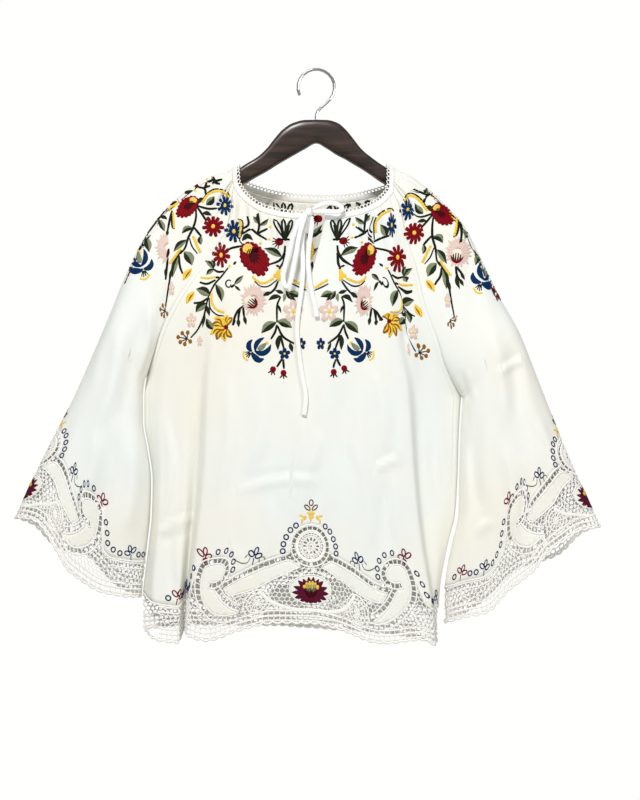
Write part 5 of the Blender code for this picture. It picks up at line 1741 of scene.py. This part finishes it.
def frontWork():
    # The left half of the front, as seen
    made = bundle() + moved(thistle(), 279, 242)
    made += moved(poppy(), 254.5, 260)
    made += moved(daisy("red", 10, 11), 221, 255.4, 0.78, 1.1)
    made += stem((242.5, 229), (248.4, 224.8), (247.2, 216.5))
    made += stem((243, 233.6), (250.8, 229.5), (257, 234), (266.7, 240))
    made += stem((257.2, 234.2), (259, 225.4), (257, 214)) + stem((257.8, 233.6), (267.3, 228.9))
    made += leaf(259, 226, 268.4, 219, 4, 0.1, -1) + leaf(258.4, 224, 253, 216.5, 3.8, 0, 1)
    made += leaf(259, 224, 258.4, 212.8, 3.4, -0.1, 1, 1)
    for x, y in ((270, 227), (269, 239.6), (260.4, 243.6)):
        made += dot(x, y, 1.5, 1.4, "yellow", sides=8)
    made += leaf(241.8, 241, 252.8, 240.6, 4.6, -0.42, 1, 1)
    made += stem((226.6, 250.7), (232, 248.2), (241.8, 246.2))
    made += leaf(281.6, 257, 264, 248.6, 6.6, 0.06, 1)
    made += stem((285, 246), (284, 254), (279, 261), (268.4, 265))
    made += stem((285, 254), (283.2, 262.5), (279.6, 268))
    made += leaf(279.4, 267, 275.5, 265.6, 2.2, 0, 1, 1) + dot(279.6, 268.4, 1.4, 1.4, "red")
    made += stroke([(279.5, 270), (277.6, 275), (279.4, 281)], (1.2, 2.6, 2.6, 1.2), "yellow")
    made += dot(274.6, 276, 1.8, 2.2, "yellow")
    made += arc([(253, 277.4), (257.8, 281.8), (264.5, 283.2), (272.6, 279)],
                [(254.3, 281.6), (260.6, 286.6), (268.5, 286.4), (277, 280)])
    made += arc([(293.2, 280.4), (299, 283.7), (305, 287.3)], [(292, 284), (299, 287.4), (306.2, 290.6)])
    made += stem((277.9, 281.4), (274.3, 289.6), (267, 295.6))
    made += leaf(272, 292.6, 261.8, 297.6, 3.4, 0.1, 1, 1)
    made += leaf(280.4, 296.6, 268.2, 300.6, 4.2, 0.12, 1, 1) + leaf(283.4, 293.4, 275, 290.6, 3.4, 0, 1, 1)
    made += leaf(284, 293.6, 283.4, 302, 4.2, 0, 1, 0)[:1] + leaf(286, 291, 291.6, 300.4, 4.4, 0, 1)
    made += leaf(287.4, 293.4, 300.6, 297, 6, -0.08, 1) + leaf(289.6, 295.6, 295.6, 301.2, 2.6, 0, 1, 1)
    made += stem((280.4, 297), (277, 306), (276.8, 322.6), wide=1.1)
    made += leaf(278, 305, 281, 313.4, 2.4, 0, 1, 1)
    made += leaf(276, 322.6, 261.2, 333.4, 7.6, 0.1, -1) + leaf(277.3, 321.5, 291.8, 328, 7.6, -0.1, 1)
    made += stem((276.7, 325), (275, 332), (270.8, 339.4)) + stem((277.3, 326.2), (283, 337), (293.8, 343.9))
    made += leaf(279, 335.6, 277.8, 350.4, 4.4, 0.05, 1, 1) + stem((280.2, 335.6), (283.8, 349))
    made += leaf(289.6, 343, 292.4, 352.6, 3.8, 0, 1, 1)
    made += moved(blossom(10.6), 293, 312, 0.95, 1.1)
    made += moved(tulip(), 257.6, 348.6, -0.95, 0.95, 43)
    made += moved(blossom(5.8, "blue", "straw"), 284.4, 354, 1, 1)
    made += moved(blossom(5.8, "blue", "straw"), 301.4, 344.2, 0.75, 1.05)
    made += stem((282, 359), (276.7, 367.2)) + stem((283, 359.6), (283.8, 369)) + redBud(272.9, 369.6, 20)
    made += redBud(283.4, 373.2)
    # left of the main fold
    made += leaf(213.6, 269.4, 204.8, 260.8, 4.6, 0.1, 1, 0)
    made += leaf(213.2, 268.6, 211.4, 259.8, 4.0, 0.1, 1, 0)
    made += leaf(213.8, 269.8, 206.2, 275.2, 4.4, 0.1, 1, 0)
    made += stem((213.6, 269.6), (218, 272.2), (223.8, 271.6)) + dot(229.6, 266.4, 1.6, 1.5, "yellow")
    made += leaf(233, 265, 236.4, 261.6, 2.4, 0, 1, 1)
    made += stem((228, 268), (221.3, 276.7), (214.2, 284.9), (208.3, 296.7), wide=1.0)
    made += stem((208.3, 296.7), (206, 306.1), (203.6, 316.7), (197.7, 329.7), (190.6, 338), wide=1.0)
    made += beads([(201.6, 277.8), (208, 278.6), (214.6, 277.2)])
    made += stem((199.5, 282.5), (207, 284.2), (215.4, 280.2))
    made += stem((215.6, 277.8), (219, 277.6)) + leaf(215.6, 284.6, 221.6, 302, 6.4, -0.1, 1)
    made += leaf(209.8, 296, 196, 289.2, 7.8, 0.1, 1)
    made += bud(33, 190.2, 297.8) + stem((193.6, 303.4), (201, 302.6), (208.3, 298))
    made += arc([(211.4, 294.4), (212, 303.6), (216.8, 310), (223.2, 312.4)],
                [(209, 298), (210, 308.5), (216.6, 315), (223.6, 316.2)], 1.4)
    made += leaf(206.6, 303.6, 195.6, 312.4, 7.2, 0.1, 1) + leaf(206.8, 306, 209.4, 316.4, 3.4, 0, 1, 1)
    made += leaf(204.8, 313, 202.2, 328, 2.6, 0, 1, 1)
    made += leaf(206.4, 319, 214, 330.4, 5.8, 0.08, 1, 0)
    made += moved(goldFlower(), 226, 327.4, 1, 1)
    made += stem((232.6, 325.6), (234.4, 318), (238, 310.6), (243.7, 306))
    made += stem((240, 309.4), (238.6, 315), (238.2, 320)) + stem((243, 307.4), (243.4, 312), (244, 317))
    made += leaf(238, 319, 238.6, 327.4, 3.4, 0, 1, 1) + leaf(243.8, 316, 246, 325.2, 3.2, 0, 1, 1)
    made += leaf(234.4, 318, 233.4, 326, 2.6, 0, 1, 1)
    made += moved(cornflower(), 253.6, 300, 0.98, 1.22) + cornflowerEye(250.6, 302.4, -52, 0.95)
    made += stroke([(230.8, 284.9), (229.6, 287.6), (226.4, 286.6), (225.6, 282.6), (228.4, 280.2),
                    (230.6, 281.2)], (0.65, 0.8, 0.65), "stem", 0.5, along=False) + stem((231, 287.6),
                                                                                         (234.2, 285))
    made += leaf(234, 285, 243.4, 275.6, 4.2, 0, -1) + leaf(234.6, 286, 240.4, 291.4, 2.4, 0, 1, 1)
    made += moved(blossom(7), 191.2, 320.9, 0.72, 1.1) + moved(blossom(5.4), 199.5, 341.6, 0.5, 1)
    return made + berries(185.6, 338.4)


def frontDaisies():
    # The blue daisies beside their arcs: the right one lies in a gather and shows narrow
    made = moved(daisy("blue", 10, 10), 233.8, 231.6, 0.92, 1.08)
    made += arc([(239.8, 221.5), (240.6, 229), (239.4, 236.8)],
                [(237.6, 219.4), (242.4, 221.4), (242.2, 233), (239.2, 240), (242.6, 245)])
    made += moved(daisy("blue", 10, 11), 391.5, 225.4, 0.4, 1.08)
    made += arc([(375.6, 232), (375.8, 223), (381.2, 215.2), (389.6, 210.6)],
                [(374.2, 240), (373.6, 226), (376, 218), (382, 212), (390.2, 208.4), (393.6, 211.4)])
    made += leaf(386, 237.4, 380.2, 224.8, 7, 0.1, 1) + stem((373.6, 242), (381.2, 238.4), (389, 236))
    return made


def backMiddle():
    # The motifs of the back's middle, some of which show through the slit
    made = leaf(304, 236, 322, 225, 6, 0.16, 1) + stem((303, 240), (312, 237), (324, 230))
    made += moved(thistle(), 318, 219) + beads([(311, 243), (312.4, 250), (311, 258)], 2.0, 2.4)
    made += leaf(318, 248, 306, 264, 5, 0.1, 1) + leaf(308, 262, 321, 274, 5, 0.1, -1)
    return made + stem((312, 262), (313, 276), (310, 290))


def sleeveWork():
    # The left sleeve, as seen; the stems first, the flowers over them
    made = stem((157, 207.6), (162, 203.6), (168, 200))
    made += stem((177, 196), (184, 190), (197, 182), (210.4, 173.8))
    made += stem((196.6, 206), (208, 209), (217, 208.6)) + stem((196.6, 207), (201, 213), (206.2, 221.4))
    made += leaf(202.4, 213.4, 211.4, 215.8, 3.8, -0.12, 1, 1)
    made += stem((195.6, 208), (195.8, 218), (193, 228), (188, 238), (185, 248), (180, 254))
    made += stem((178.8, 256), (179.6, 266), (182.4, 274))
    made += leaf(193, 228.4, 181.6, 233.8, 5.2, 0.2, -1) + stem((194, 228), (201.2, 236.8))
    made += leaf(200.6, 236.4, 200.8, 245, 5, 0.1, 1, 0)
    made += arc([(193.4, 237.4), (196.4, 245), (199.8, 251.8)], [(189.2, 238.4), (192, 247), (197.4, 254)],
                1.6)
    made += leaf(186.4, 240, 173.4, 251.8, 5.4, 0.06, 1)
    made += arc([(179.8, 249.8), (175.4, 256), (170, 263)], [(181.6, 250.6), (177, 257.4), (172, 264.4)], 1.5)
    made += leaf(184, 252, 191.8, 265.4, 8.4, -0.1, 1) + bud(36, 187.2, 274.6)
    made += leaf(178, 256, 172.4, 277.6, 5, 0.05, 1) + stem((173, 262), (169, 283), (165.8, 304), wide=0.95)
    made += leaf(172.4, 268, 168.8, 281, 3.0, 0, 1, 1) + moved(blossom(6.2), 171.4, 289, 0.5, 1.2)
    made += moved(berries(0, 0), 164.4, 310.6, 0.55, 1)
    made += stem((167, 208), (161, 216), (154, 225), (147, 234), (142, 238), (132, 245), (128, 254),
                 (124.6, 265), wide=0.95)
    made += leaf(160, 217.6, 167, 219.8, 3.6, -0.2, 1, 1) + leaf(158.6, 217.4, 154.6, 224.6, 4.2, 0.1, 1, 0)
    made += leaf(159.4, 220, 164.6, 231.6, 5.2, 0, 1)
    made += leaf(147, 235, 136, 236.8, 6, 0.14, -1) + leaf(145.4, 237, 149, 252.4, 6.4, -0.04, 1)
    made += stem((143.6, 238), (138.8, 250.4))
    made += moved(tulip(), 141, 262.4) + redBud(123, 269, 25)
    made += moved(redBud(0, 0), 119.8, 276.4, 0.8, 0.9, 20)
    made += stem((172, 211), (170, 218), (167.4, 231)) + leaf(167.6, 230, 166.6, 236.4, 2.8, 0, 1, 1)
    made += beads([(173, 213.4), (173.4, 220), (173.8, 227.6)], 1.3)
    made += stem((171.8, 214), (172.2, 227), (174.4, 229))
    made += moved(bellFlower(), 171.4, 202.8)
    made += moved(poppy(), 186.6, 207.6, 0.62, 0.76, 70)
    made += moved(daisy("blue", 10, 9.4), 224.7, 205.6, 0.86, 1.04)
    made += moved(daisy("red", 11, 10.4), 213, 226.6)
    made += arc([(202.6, 202), (208, 194.8), (216, 191.4), (224, 192.8), (228.6, 197)],
                [(201.4, 201), (208.6, 192.4), (216, 189.2), (226, 191.4), (230, 197)], 1.4)
    made += leaf(206, 205, 214.2, 196.6, 6.6, 0.06, 1) + leaf(198, 204, 204.6, 198.6, 4, -0.2, 1, 1)
    made += stem((205.6, 195), (204.4, 189), (198, 187.4)) + stem((204.6, 189), (206.4, 182.6))
    made += stem((203.8, 188), (210, 186))
    made += leaf(183, 192.6, 192.4, 190.4, 3.2, 0.1, 1, 1) + dot(194.6, 184.6, 3.2, 2.2, "red")
    made += dot(207, 180, 1.4, 1.1, "yellow") + dot(195.4, 191, 1.3, 1.2, "yellow")
    made += stem((222, 179.5), (215, 181.6), (212, 184)) + stem((213, 182.4), (220, 184.4))
    made += leaf(214.6, 183.4, 213, 175.6, 4, -0.1, 1) + stem((205, 176.6), (213, 175.4))
    return made


def leftPink():
    made = moved(cornflower(100, 160), 167.6, 248, 0.9, 1.2)
    made += moved(stroke([(0, -4), (-0.8, 0), (-2, 5)], (0.8, 1.9, 0.8), "heart", 0.6, 0.3), 168.6, 253)
    return made + stem((167.6, 258), (166.4, 270), (165.4, 280)) + leaf(166, 268, 164.6, 276, 2.4, 0, 1, 1)


def rightPink():
    made = moved(cornflower(), 458.2, 252.4, 0.98, 1.16) + cornflowerEye(456.8, 256, 6)
    made += stem((455.6, 266.6), (457, 276), (461.6, 283)) + stem((456, 267), (461, 273), (463.6, 277.6))
    made += leaf(455.8, 276, 459.8, 289.4, 3.6, 0.05, 1, 1) + leaf(459.6, 279, 463.4, 286.4, 3.2, 0, 1, 1)
    made += leaf(460.6, 272.6, 464.6, 280.2, 3.0, 0, 1, 1)
    return made


# Where the same motif sits on the left and on the right: the right half is drawn through these
frontPairs = (
    ((284, 222), (339, 222)), ((285, 240), (337, 240)), ((279, 242), (343.5, 241)), ((279, 274), (340, 274)),
    ((274, 254), (349, 252)), ((263, 282), (357, 281)), ((276, 295), (346, 295)), ((293, 312), (329, 312)),
    ((268, 326), (352, 326)), ((285, 325), (336, 324)), ((259, 350), (358, 350)), ((285, 354), (334, 354)),
    ((273, 370), (344, 369)), ((283, 373), (334, 372)), ((261, 222), (363, 220)), ((270, 227), (353, 225)),
    ((269, 240), (352, 238)), ((261, 244), (361, 243)), ((241, 232), (373.4, 236)),
    ((242, 259), (373, 261)), ((254, 259), (364, 261)), ((267, 259), (355, 261)), ((221, 255), (397.5, 257)),
    ((236, 283), (377, 279)), ((209, 266), (408, 274)), ((240, 300), (373, 302)), ((253, 300), (364, 302)),
    ((266, 300), (355, 302)), ((242, 316), (372, 317)), ((208, 278), (405, 285)), ((202, 291), (408, 302)),
    ((218, 295), (396, 300)), ((190, 297), (418, 311)), ((226, 327), (389, 321)), ((214, 327), (398, 322)),
    ((191, 321), (413, 333)), ((185, 339), (421, 353)), ((301, 344), (321, 344)))
sleevePairs = (
    ((224.7, 205.6), (407.6, 210)), ((213, 226.6), (414.2, 233)), ((186.6, 207.6), (442.1, 215.5)),
    ((171, 203), (458.5, 208.8)), ((194.6, 184.5), (438.5, 189.4)), ((141, 262), (484, 275.5)),
    ((187, 274.6), (430, 285.8)), ((164, 311), (450.6, 321.5)), ((201, 240), (423.3, 248.8)),
    ((196, 245), (426.4, 254.9)), ((175, 256), (445.2, 268.2)), ((188, 259), (431.8, 270.6)),
    ((121, 273), (497.3, 292.5)), ((147, 234), (479.7, 247.6)), ((161, 219), (470, 224.6)),
    ((213, 179), (426.4, 191.8)), ((216, 190), (410.6, 194.2)), ((229, 197), (404.5, 200.3)),
    ((210, 201), (419, 210)), ((165.6, 303), (454.3, 315.5)), ((132, 262), (489.5, 275)))


def acrossBy(points, pairs, turnAt):
    # Mirrored about a line, then shifted as the nearby pairs say
    mirrored = points * (-1, 1) + (2 * turnAt, 0)
    starts = np.array([a for a, _ in pairs], float)
    shifts = np.array([b for _, b in pairs], float) - (starts * (-1, 1) + (2 * turnAt, 0))
    weight = 1 / (((points[:, None] - starts) ** 2).sum(2) + 6.0) ** 1.7
    return mirrored + (weight @ shifts) / weight.sum(1, keepdims=True)


def throughPairs(shapes, pairs, turnAt):
    return [(acrossBy(p, pairs, turnAt), h, f, colour, uv) for p, h, f, colour, uv in shapes]


def surfaceOf(pieces):
    # One tree of all triangles of the given pieces, in millimetres
    points, faces, start = [], [], 0
    for piece in pieces:
        points += [v.co / metre for v in piece.data.vertices]
        faces += [[start + i for i in polygon.vertices] for polygon in piece.data.polygons]
        start += len(piece.data.vertices)
    return BVHTree.FromPolygons(points, faces)


def layOnCloth(shapes, tree, facing, inside=False):
    # Pixel places onto the cloth, looking from the photograph's side or from behind
    eye = Vector((shot["x"] / metre, shot["y"] / metre * facing, shot["z"] / metre))
    points = np.concatenate([p for p, _, _, _, _ in shapes])
    heights = np.concatenate([h for _, h, _, _, _ in shapes])
    placed = np.empty((len(points), 3))
    for i, (px, py) in enumerate(points):
        x, z = fromPixel(px, py)
        goal = Vector((x, shot["plane"] / metre * facing, z))
        start, way = eye, (goal - eye).normalized()
        hit, normal, _, _ = tree.ray_cast(start, way)
        if hit is None:
            hit, normal, _, _ = tree.find_nearest(goal)
        if normal.dot(way) > 0:
            normal = -normal
        placed[i] = hit + normal * heights[i] * (0.5 if inside else 1.0)
    return placed


def stitchObject(name, shapes, placed):
    faces, kinds, uvs, start = [], [], [], 0
    for points, _, own, colour, uv in shapes:
        faces += [tuple(start + i for i in face) for face in own]
        kinds += [threadNames.index(colour)] * len(own)
        uvs.append(uv * shot["pixel"])
        start += len(points)
    piece = makePiece(name, placed, faces, satin, kinds, np.concatenate(uvs))
    faceOutwards(piece)
    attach(piece, "root")
    print(name, len(faces), "faces")
    return piece


def raised(design):
    # Later shapes a little higher, so that crossing threads never lie in one plane
    return [(p, h + 0.12 * (k % 5) / 5, f, colour, uv) for k, (p, h, f, colour, uv) in enumerate(design)]


frontDesign = frontWork()
sleeveDesign = sleeveWork()
rightFront = throughPairs(frontDesign, frontPairs, 311.5)
rightSleeve = throughPairs(sleeveDesign, sleevePairs, 315.5)
frontTree = surfaceOf([frontPanel, sleeves["left"], sleeves["right"]])
backTree = surfaceOf([backPanel, sleeves["left"], sleeves["right"]])
works = {
    "front": frontDesign + rightFront + frontDaisies(),
    "left": sleeveDesign + leftPink(),
    "right": rightSleeve + rightPink()}
for key, shapes in works.items():
    shapes = raised(shapes)
    stitchObject(key + "_embroidery", shapes, layOnCloth(shapes, frontTree, 1))


def backShift(shapes, full=17):
    # The back's neckline is higher, so its middle motifs sit higher too
    made = []
    for p, h, f, colour, uv in shapes:
        off = np.abs(p[:, 0] - 312)
        made.append((p - np.stack([0 * off, full * smoothStep((95 - off) / 60)], 1), h, f, colour, uv))
    return made


def seenInside(shape):
    # The stitches of the back whose reverse shows through the neck and the slit
    x, y = shape[0].mean(0)
    return (y < 214 and 246 < x < 378) or (300 < x < 326 and y < 292)


insideTree = surfaceOf([backPanel])
inside = raised([s for s in backShift(works["front"]) + backMiddle() if seenInside(s)])
stitchObject("back_inner_embroidery", inside, layOnCloth(inside, insideTree, 1, True))
outer = {
    "back": backShift(works["front"]) + backMiddle(),
    "back_left": works["left"],
    "back_right": works["right"]}
for key, shapes in outer.items():
    shapes = raised(shapes)
    stitchObject(key + "_embroidery", shapes, layOnCloth(shapes, backTree, -1))
print("yoke stitched")

# Coloured stitches of the border: drawn in pixels from the pattern's middle, down from the hem's height


def hemFlower():
    made = dot(0, -3, 13, 9, "wine", 0.25, 0.0, 0, 24)
    tips = ((-18.4, -0.7), (-17, -6.5), (-12.8, -12.4), (-8, -14), (-2.6, -16), (2.6, -16), (8, -14),
            (12.8, -12.4), (17, -6.5), (18.4, -0.7), (16, 5), (11, 9), (5.6, 10.8), (0, 12), (-5.6, 10.8),
            (-11, 9), (-16, 5))
    for x, y in tips:
        made += stroke([(0.2 * x, 0.2 * y), (0.62 * x, 0.62 * y), (x, y)], (0.8, 1.9, 2.3, 2.0, 0.4), "wine",
                       0.6, 0.08)
    for x in (-5.4, -2.8, 0, 2.8, 5.4):
        made += stroke([(x * 1.1, -4.5), (x * 0.7, 1.2), (0.2 * x, 5.4)], (1.7, 1.7, 0.4), "heart", 0.5, 0.3)
    for k, (x, y) in enumerate(((-7.4, -8), (-4.6, -10.6), (-1.6, -12), (1.6, -12), (4.6, -10.6), (7.4, -8))):
        made += stroke([(x * 0.8, -4.8 + (k % 2)), (x, y)], (1.0, 1.8, 1.0), "yellow", 0.5, 0.4)
    for k, x in enumerate((-4.2, -2.2, 0, 2.2, 4.2)):
        made += stroke([(x, -8.6), (x * 0.9, -2.2 + 1.2 * (k % 2))], (0.9, 0.45), "pale", 0.5, 0.55)
    return moved(made, 0, -30.4)


def trefoil(colour):
    # Two upright loops and one lying loop from one point, with their stem
    return (ringOf(-3.9, -0.5, 3.4, 2.3, colour, 0.7, 8) + ringOf(-1.6, -5.9, 2.0, 3.5, colour, 0.7, -16)
            + ringOf(3.5, -4.7, 2.1, 3.9, colour, 0.7, 36) + stroke([(0.9, 0.6), (1.4, 4), (1.9, 7.2)],
                                                                    (0.6, 0.4), colour, 0.4, along=False))


pixel = shot["pixel"]


def hemWork():
    half = []
    outerSprig, innerSprig = (145.6 / pixel, -106 / pixel), (71.5 / pixel, -90 / pixel)
    for a, b in ((127.4, 115), (114.4, 112.7), (105.3, 104.6), (101.4, 93.6), (101.4, 83.2), (36.4, 93.2),
                 (35.8, 102.3), (32.5, 111.4), (27.3, 120.6), (20.2, 126.5), (160, 88), (165, 76),
                 (168.5, 64), (178, 58), (188, 55), (216, 56), (225, 56), (250, 57)):
        half += ringOf(a / pixel, -b / pixel, 2.3, 2.5, "navy", 0.68)
    half += moved(trefoil("loop"), *outerSprig, 1.05, 1.05, 20)
    half += moved(ringOf(0, 2.6, 1.8, 1.9, "loop", 0.7), *outerSprig)
    half += moved(trefoil("navy"), *innerSprig)
    for line in ([(-4.8, 1.9), (-5.2, 7.4), (-12, 10.6), (-20, 11.4)],
                 [(-4.8, 1.5), (-9.5, 1.9), (-10.3, 5.7)], [(4.8, -1), (6.7, 2.9), (12.4, 2.4), (19.1, -2),
                                                            (23.9, -6.3)], [(7.2, -4.8), (10.5, -2.4)]):
        half += moved(stroke(line, (0.45, 0.55, 0.4), "tendril", 0.4, along=False, step=2.6), *innerSprig)
    half += moved(trefoil("navy"), 203 / pixel, -56 / pixel, 0.9, 0.9)
    half += moved(trefoil("loop"), 238 / pixel, -58 / pixel, 0.9, 0.9)
    half += stroke([(5.2, -105.2), (8.4, -106.4), (12.6, -107.6)], (1.4, 1.2, 0.6), "straw", 0.5, along=False)
    half += stroke([(6.2, -104.4), (9.4, -103), (9.6, -99.4)], (1.3, 1.3, 0.5), "straw", 0.5, along=False)
    half += stroke([(1.6, -108.6), (4.6, -110.4)], (1.3, 0.8), "straw", 0.5)
    half += ringOf(4.1, -115.2, 1.7, 3.6, "brown", 0.6, 50)
    other = [(p * (-1, 1), h, f, colour, uv) for p, h, f, colour, uv in half]
    middle = ringOf(0, -120.0, 2.1, 2.9, "brown", 0.6) + stroke([(0, -113.4), (0, -108), (-0.6, -101.4)],
                                                                (1.2, 2.8, 2.2, 0.5), "straw", 0.55)
    middle += dot(0, -106, 3.2, 2.2, "straw", 0.5)
    return hemFlower() + half + other + middle


def layOnHem(name, place, low, high):
    # The stitches that lie between two distances, on the outer face
    shapes = [s for s in raised(hemWork()) if low < s[0][:, 0].min() * pixel and s[0][:, 0].max()
              * pixel < high]
    points = np.concatenate([s[0] for s in shapes]) * (pixel, -pixel)
    heights = np.concatenate([s[1] for s in shapes])
    return stitchObject(name, shapes, onCloth(place, points, heights + 0.38))


for key in maps:
    layOnHem(key + "_border_embroidery", maps[key], maps[key]["a0"] + 1, maps[key]["a1"] - 1)
print("borders stitched")


# Topstitching: short white stitches along the strip's edge, the slit's facing and the seams

topstitch = {"pitch": 2.9, "length": 2.1, "radius": 0.24, "colour": "#E4E2DA"}


def stitchRow(line, normals=None):
    # Cuts a line on the cloth into stitches whose ends dip into it
    run = lengthsAlong(line)
    count = max(1, int(run[-1] / topstitch["pitch"]))
    made = []
    for i in range(count):
        at = (i + np.array([0, 0.25, 0.75, 1])
              * topstitch["length"] / topstitch["pitch"]) * topstitch["pitch"]
        part = readLine(at, run, line)
        if normals is not None:
            part = part + readLine(at, run, normals) * np.array([-0.25, 0.05, 0.05, -0.25])[:, None]
        made.append((part, topstitch["radius"]))
    return made


def rowOnPiece(tree, places, facing):
    # A row on the cloth along pixel places
    line = smoothLine(places, 1.0)
    spots, leans = [], []
    for px, py in line:
        x, z = fromPixel(px, py)
        hit, normal, _, _ = tree.ray_cast(Vector((x, -400 * facing, z)), Vector((0, facing, 0)))
        if hit is not None:
            spots.append(np.array(hit))
            leans.append(np.array((0, -facing, 0)))
    return stitchRow(np.array(spots), np.array(leans))


def rowOnSurface(surface, u, low, high, facing):
    v = np.linspace(low, high, 160)
    points = surface(np.full(160, u), v)
    return stitchRow(points + np.array((0, -facing * 0.85, 0)), np.tile((0.0, -facing, 0.0), (160, 1)))


stitchRows = stitchRow(alongRing(np.linspace(2, ringRun[-1] - 2, 600), 1.5, 0.5 * neckline["wall"] + 0.05))
frontOnly = surfaceOf([frontPanel])
stitchRows += rowOnPiece(frontOnly, ((300.4, 216), (303.6, 244), (307.4, 272), (309.6, 292), (312, 300),
                                     (314.2, 292), (317, 272), (323, 244), (328.6, 216)), 1)
for u in (0.018, 0.982):
    stitchRows += rowOnSurface(frontDense, u, 0.02, 0.66, 1) + rowOnSurface(backDense, u, 0.02, 0.66, -1)
# Twisted cotton, a little darker than the cloth it sinks into
topThread, _, topShader = newMaterial("white sewing thread")
topShader.inputs["Base Color"].default_value = linear(topstitch["colour"])
topShader.inputs["Roughness"].default_value = 0.7
topstitching = makeThreads("topstitching", stitchRows, topThread, 4)
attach(topstitching, "root")
print("topstitched:", len(stitchRows), "stitches")

# Floor and light: a pale floor, a soft light from the upper left and weaker ones around it

floorLook = {"radius": 1.6, "height": -1.6, "colour": "#F1F0EC"}
lightLook = {"world": 0.365, "seen": 1.03, "key": 76, "fill": 20, "rim": 3}

floorMesh = bpy.data.meshes.new("floor")
shape = bmesh.new()
bmesh.ops.create_circle(shape, cap_ends=True, segments=96, radius=floorLook["radius"])
shape.to_mesh(floorMesh)
shape.free()
floor = bpy.data.objects.new("floor", floorMesh)
floor.location = (0, 0, floorLook["height"])
scene.collection.objects.link(floor)
floorMaterial, _, floorShader = newMaterial("matt pale floor")
floorShader.inputs["Base Color"].default_value = linear(floorLook["colour"])
floorShader.inputs["Roughness"].default_value = 0.9
floorMesh.materials.append(floorMaterial)

world = bpy.data.worlds.new("studio")
world.use_nodes = True
surround = world.node_tree.nodes["Background"]
surround.inputs["Color"].default_value = linear("#FDFDFB")
direct = addNode(world.node_tree, "ShaderNodeLightPath")
strengths = {"To Min": lightLook["world"], "To Max": lightLook["seen"]}
level = addNode(world.node_tree, "ShaderNodeMapRange", strengths, {"Value": direct.outputs["Is Camera Ray"]})
world.node_tree.links.new(level.outputs["Result"], surround.inputs["Strength"])
scene.world = world


def addLight(name, power, size, place, target):
    data = bpy.data.lights.new(name, "AREA")
    data.energy, data.size, data.shape = power, size, "DISK"
    light = bpy.data.objects.new(name, data)
    light.location = place
    light.rotation_euler = (Vector(target) - Vector(place)).to_track_quat("-Z", "Y").to_euler()
    scene.collection.objects.link(light)


addLight("key", lightLook["key"], 0.5, (-0.7, -2.3, 1.8), (0, 0, -0.42))
addLight("fill", lightLook["fill"], 1.4, (1.7, -2.2, -0.1), (0, 0, -0.45))
addLight("back", lightLook["rim"], 1.2, (0.6, 2.0, 1.2), (0, 0, -0.4))
scene.view_settings.view_transform = "Standard"
scene.view_settings.look = "None"
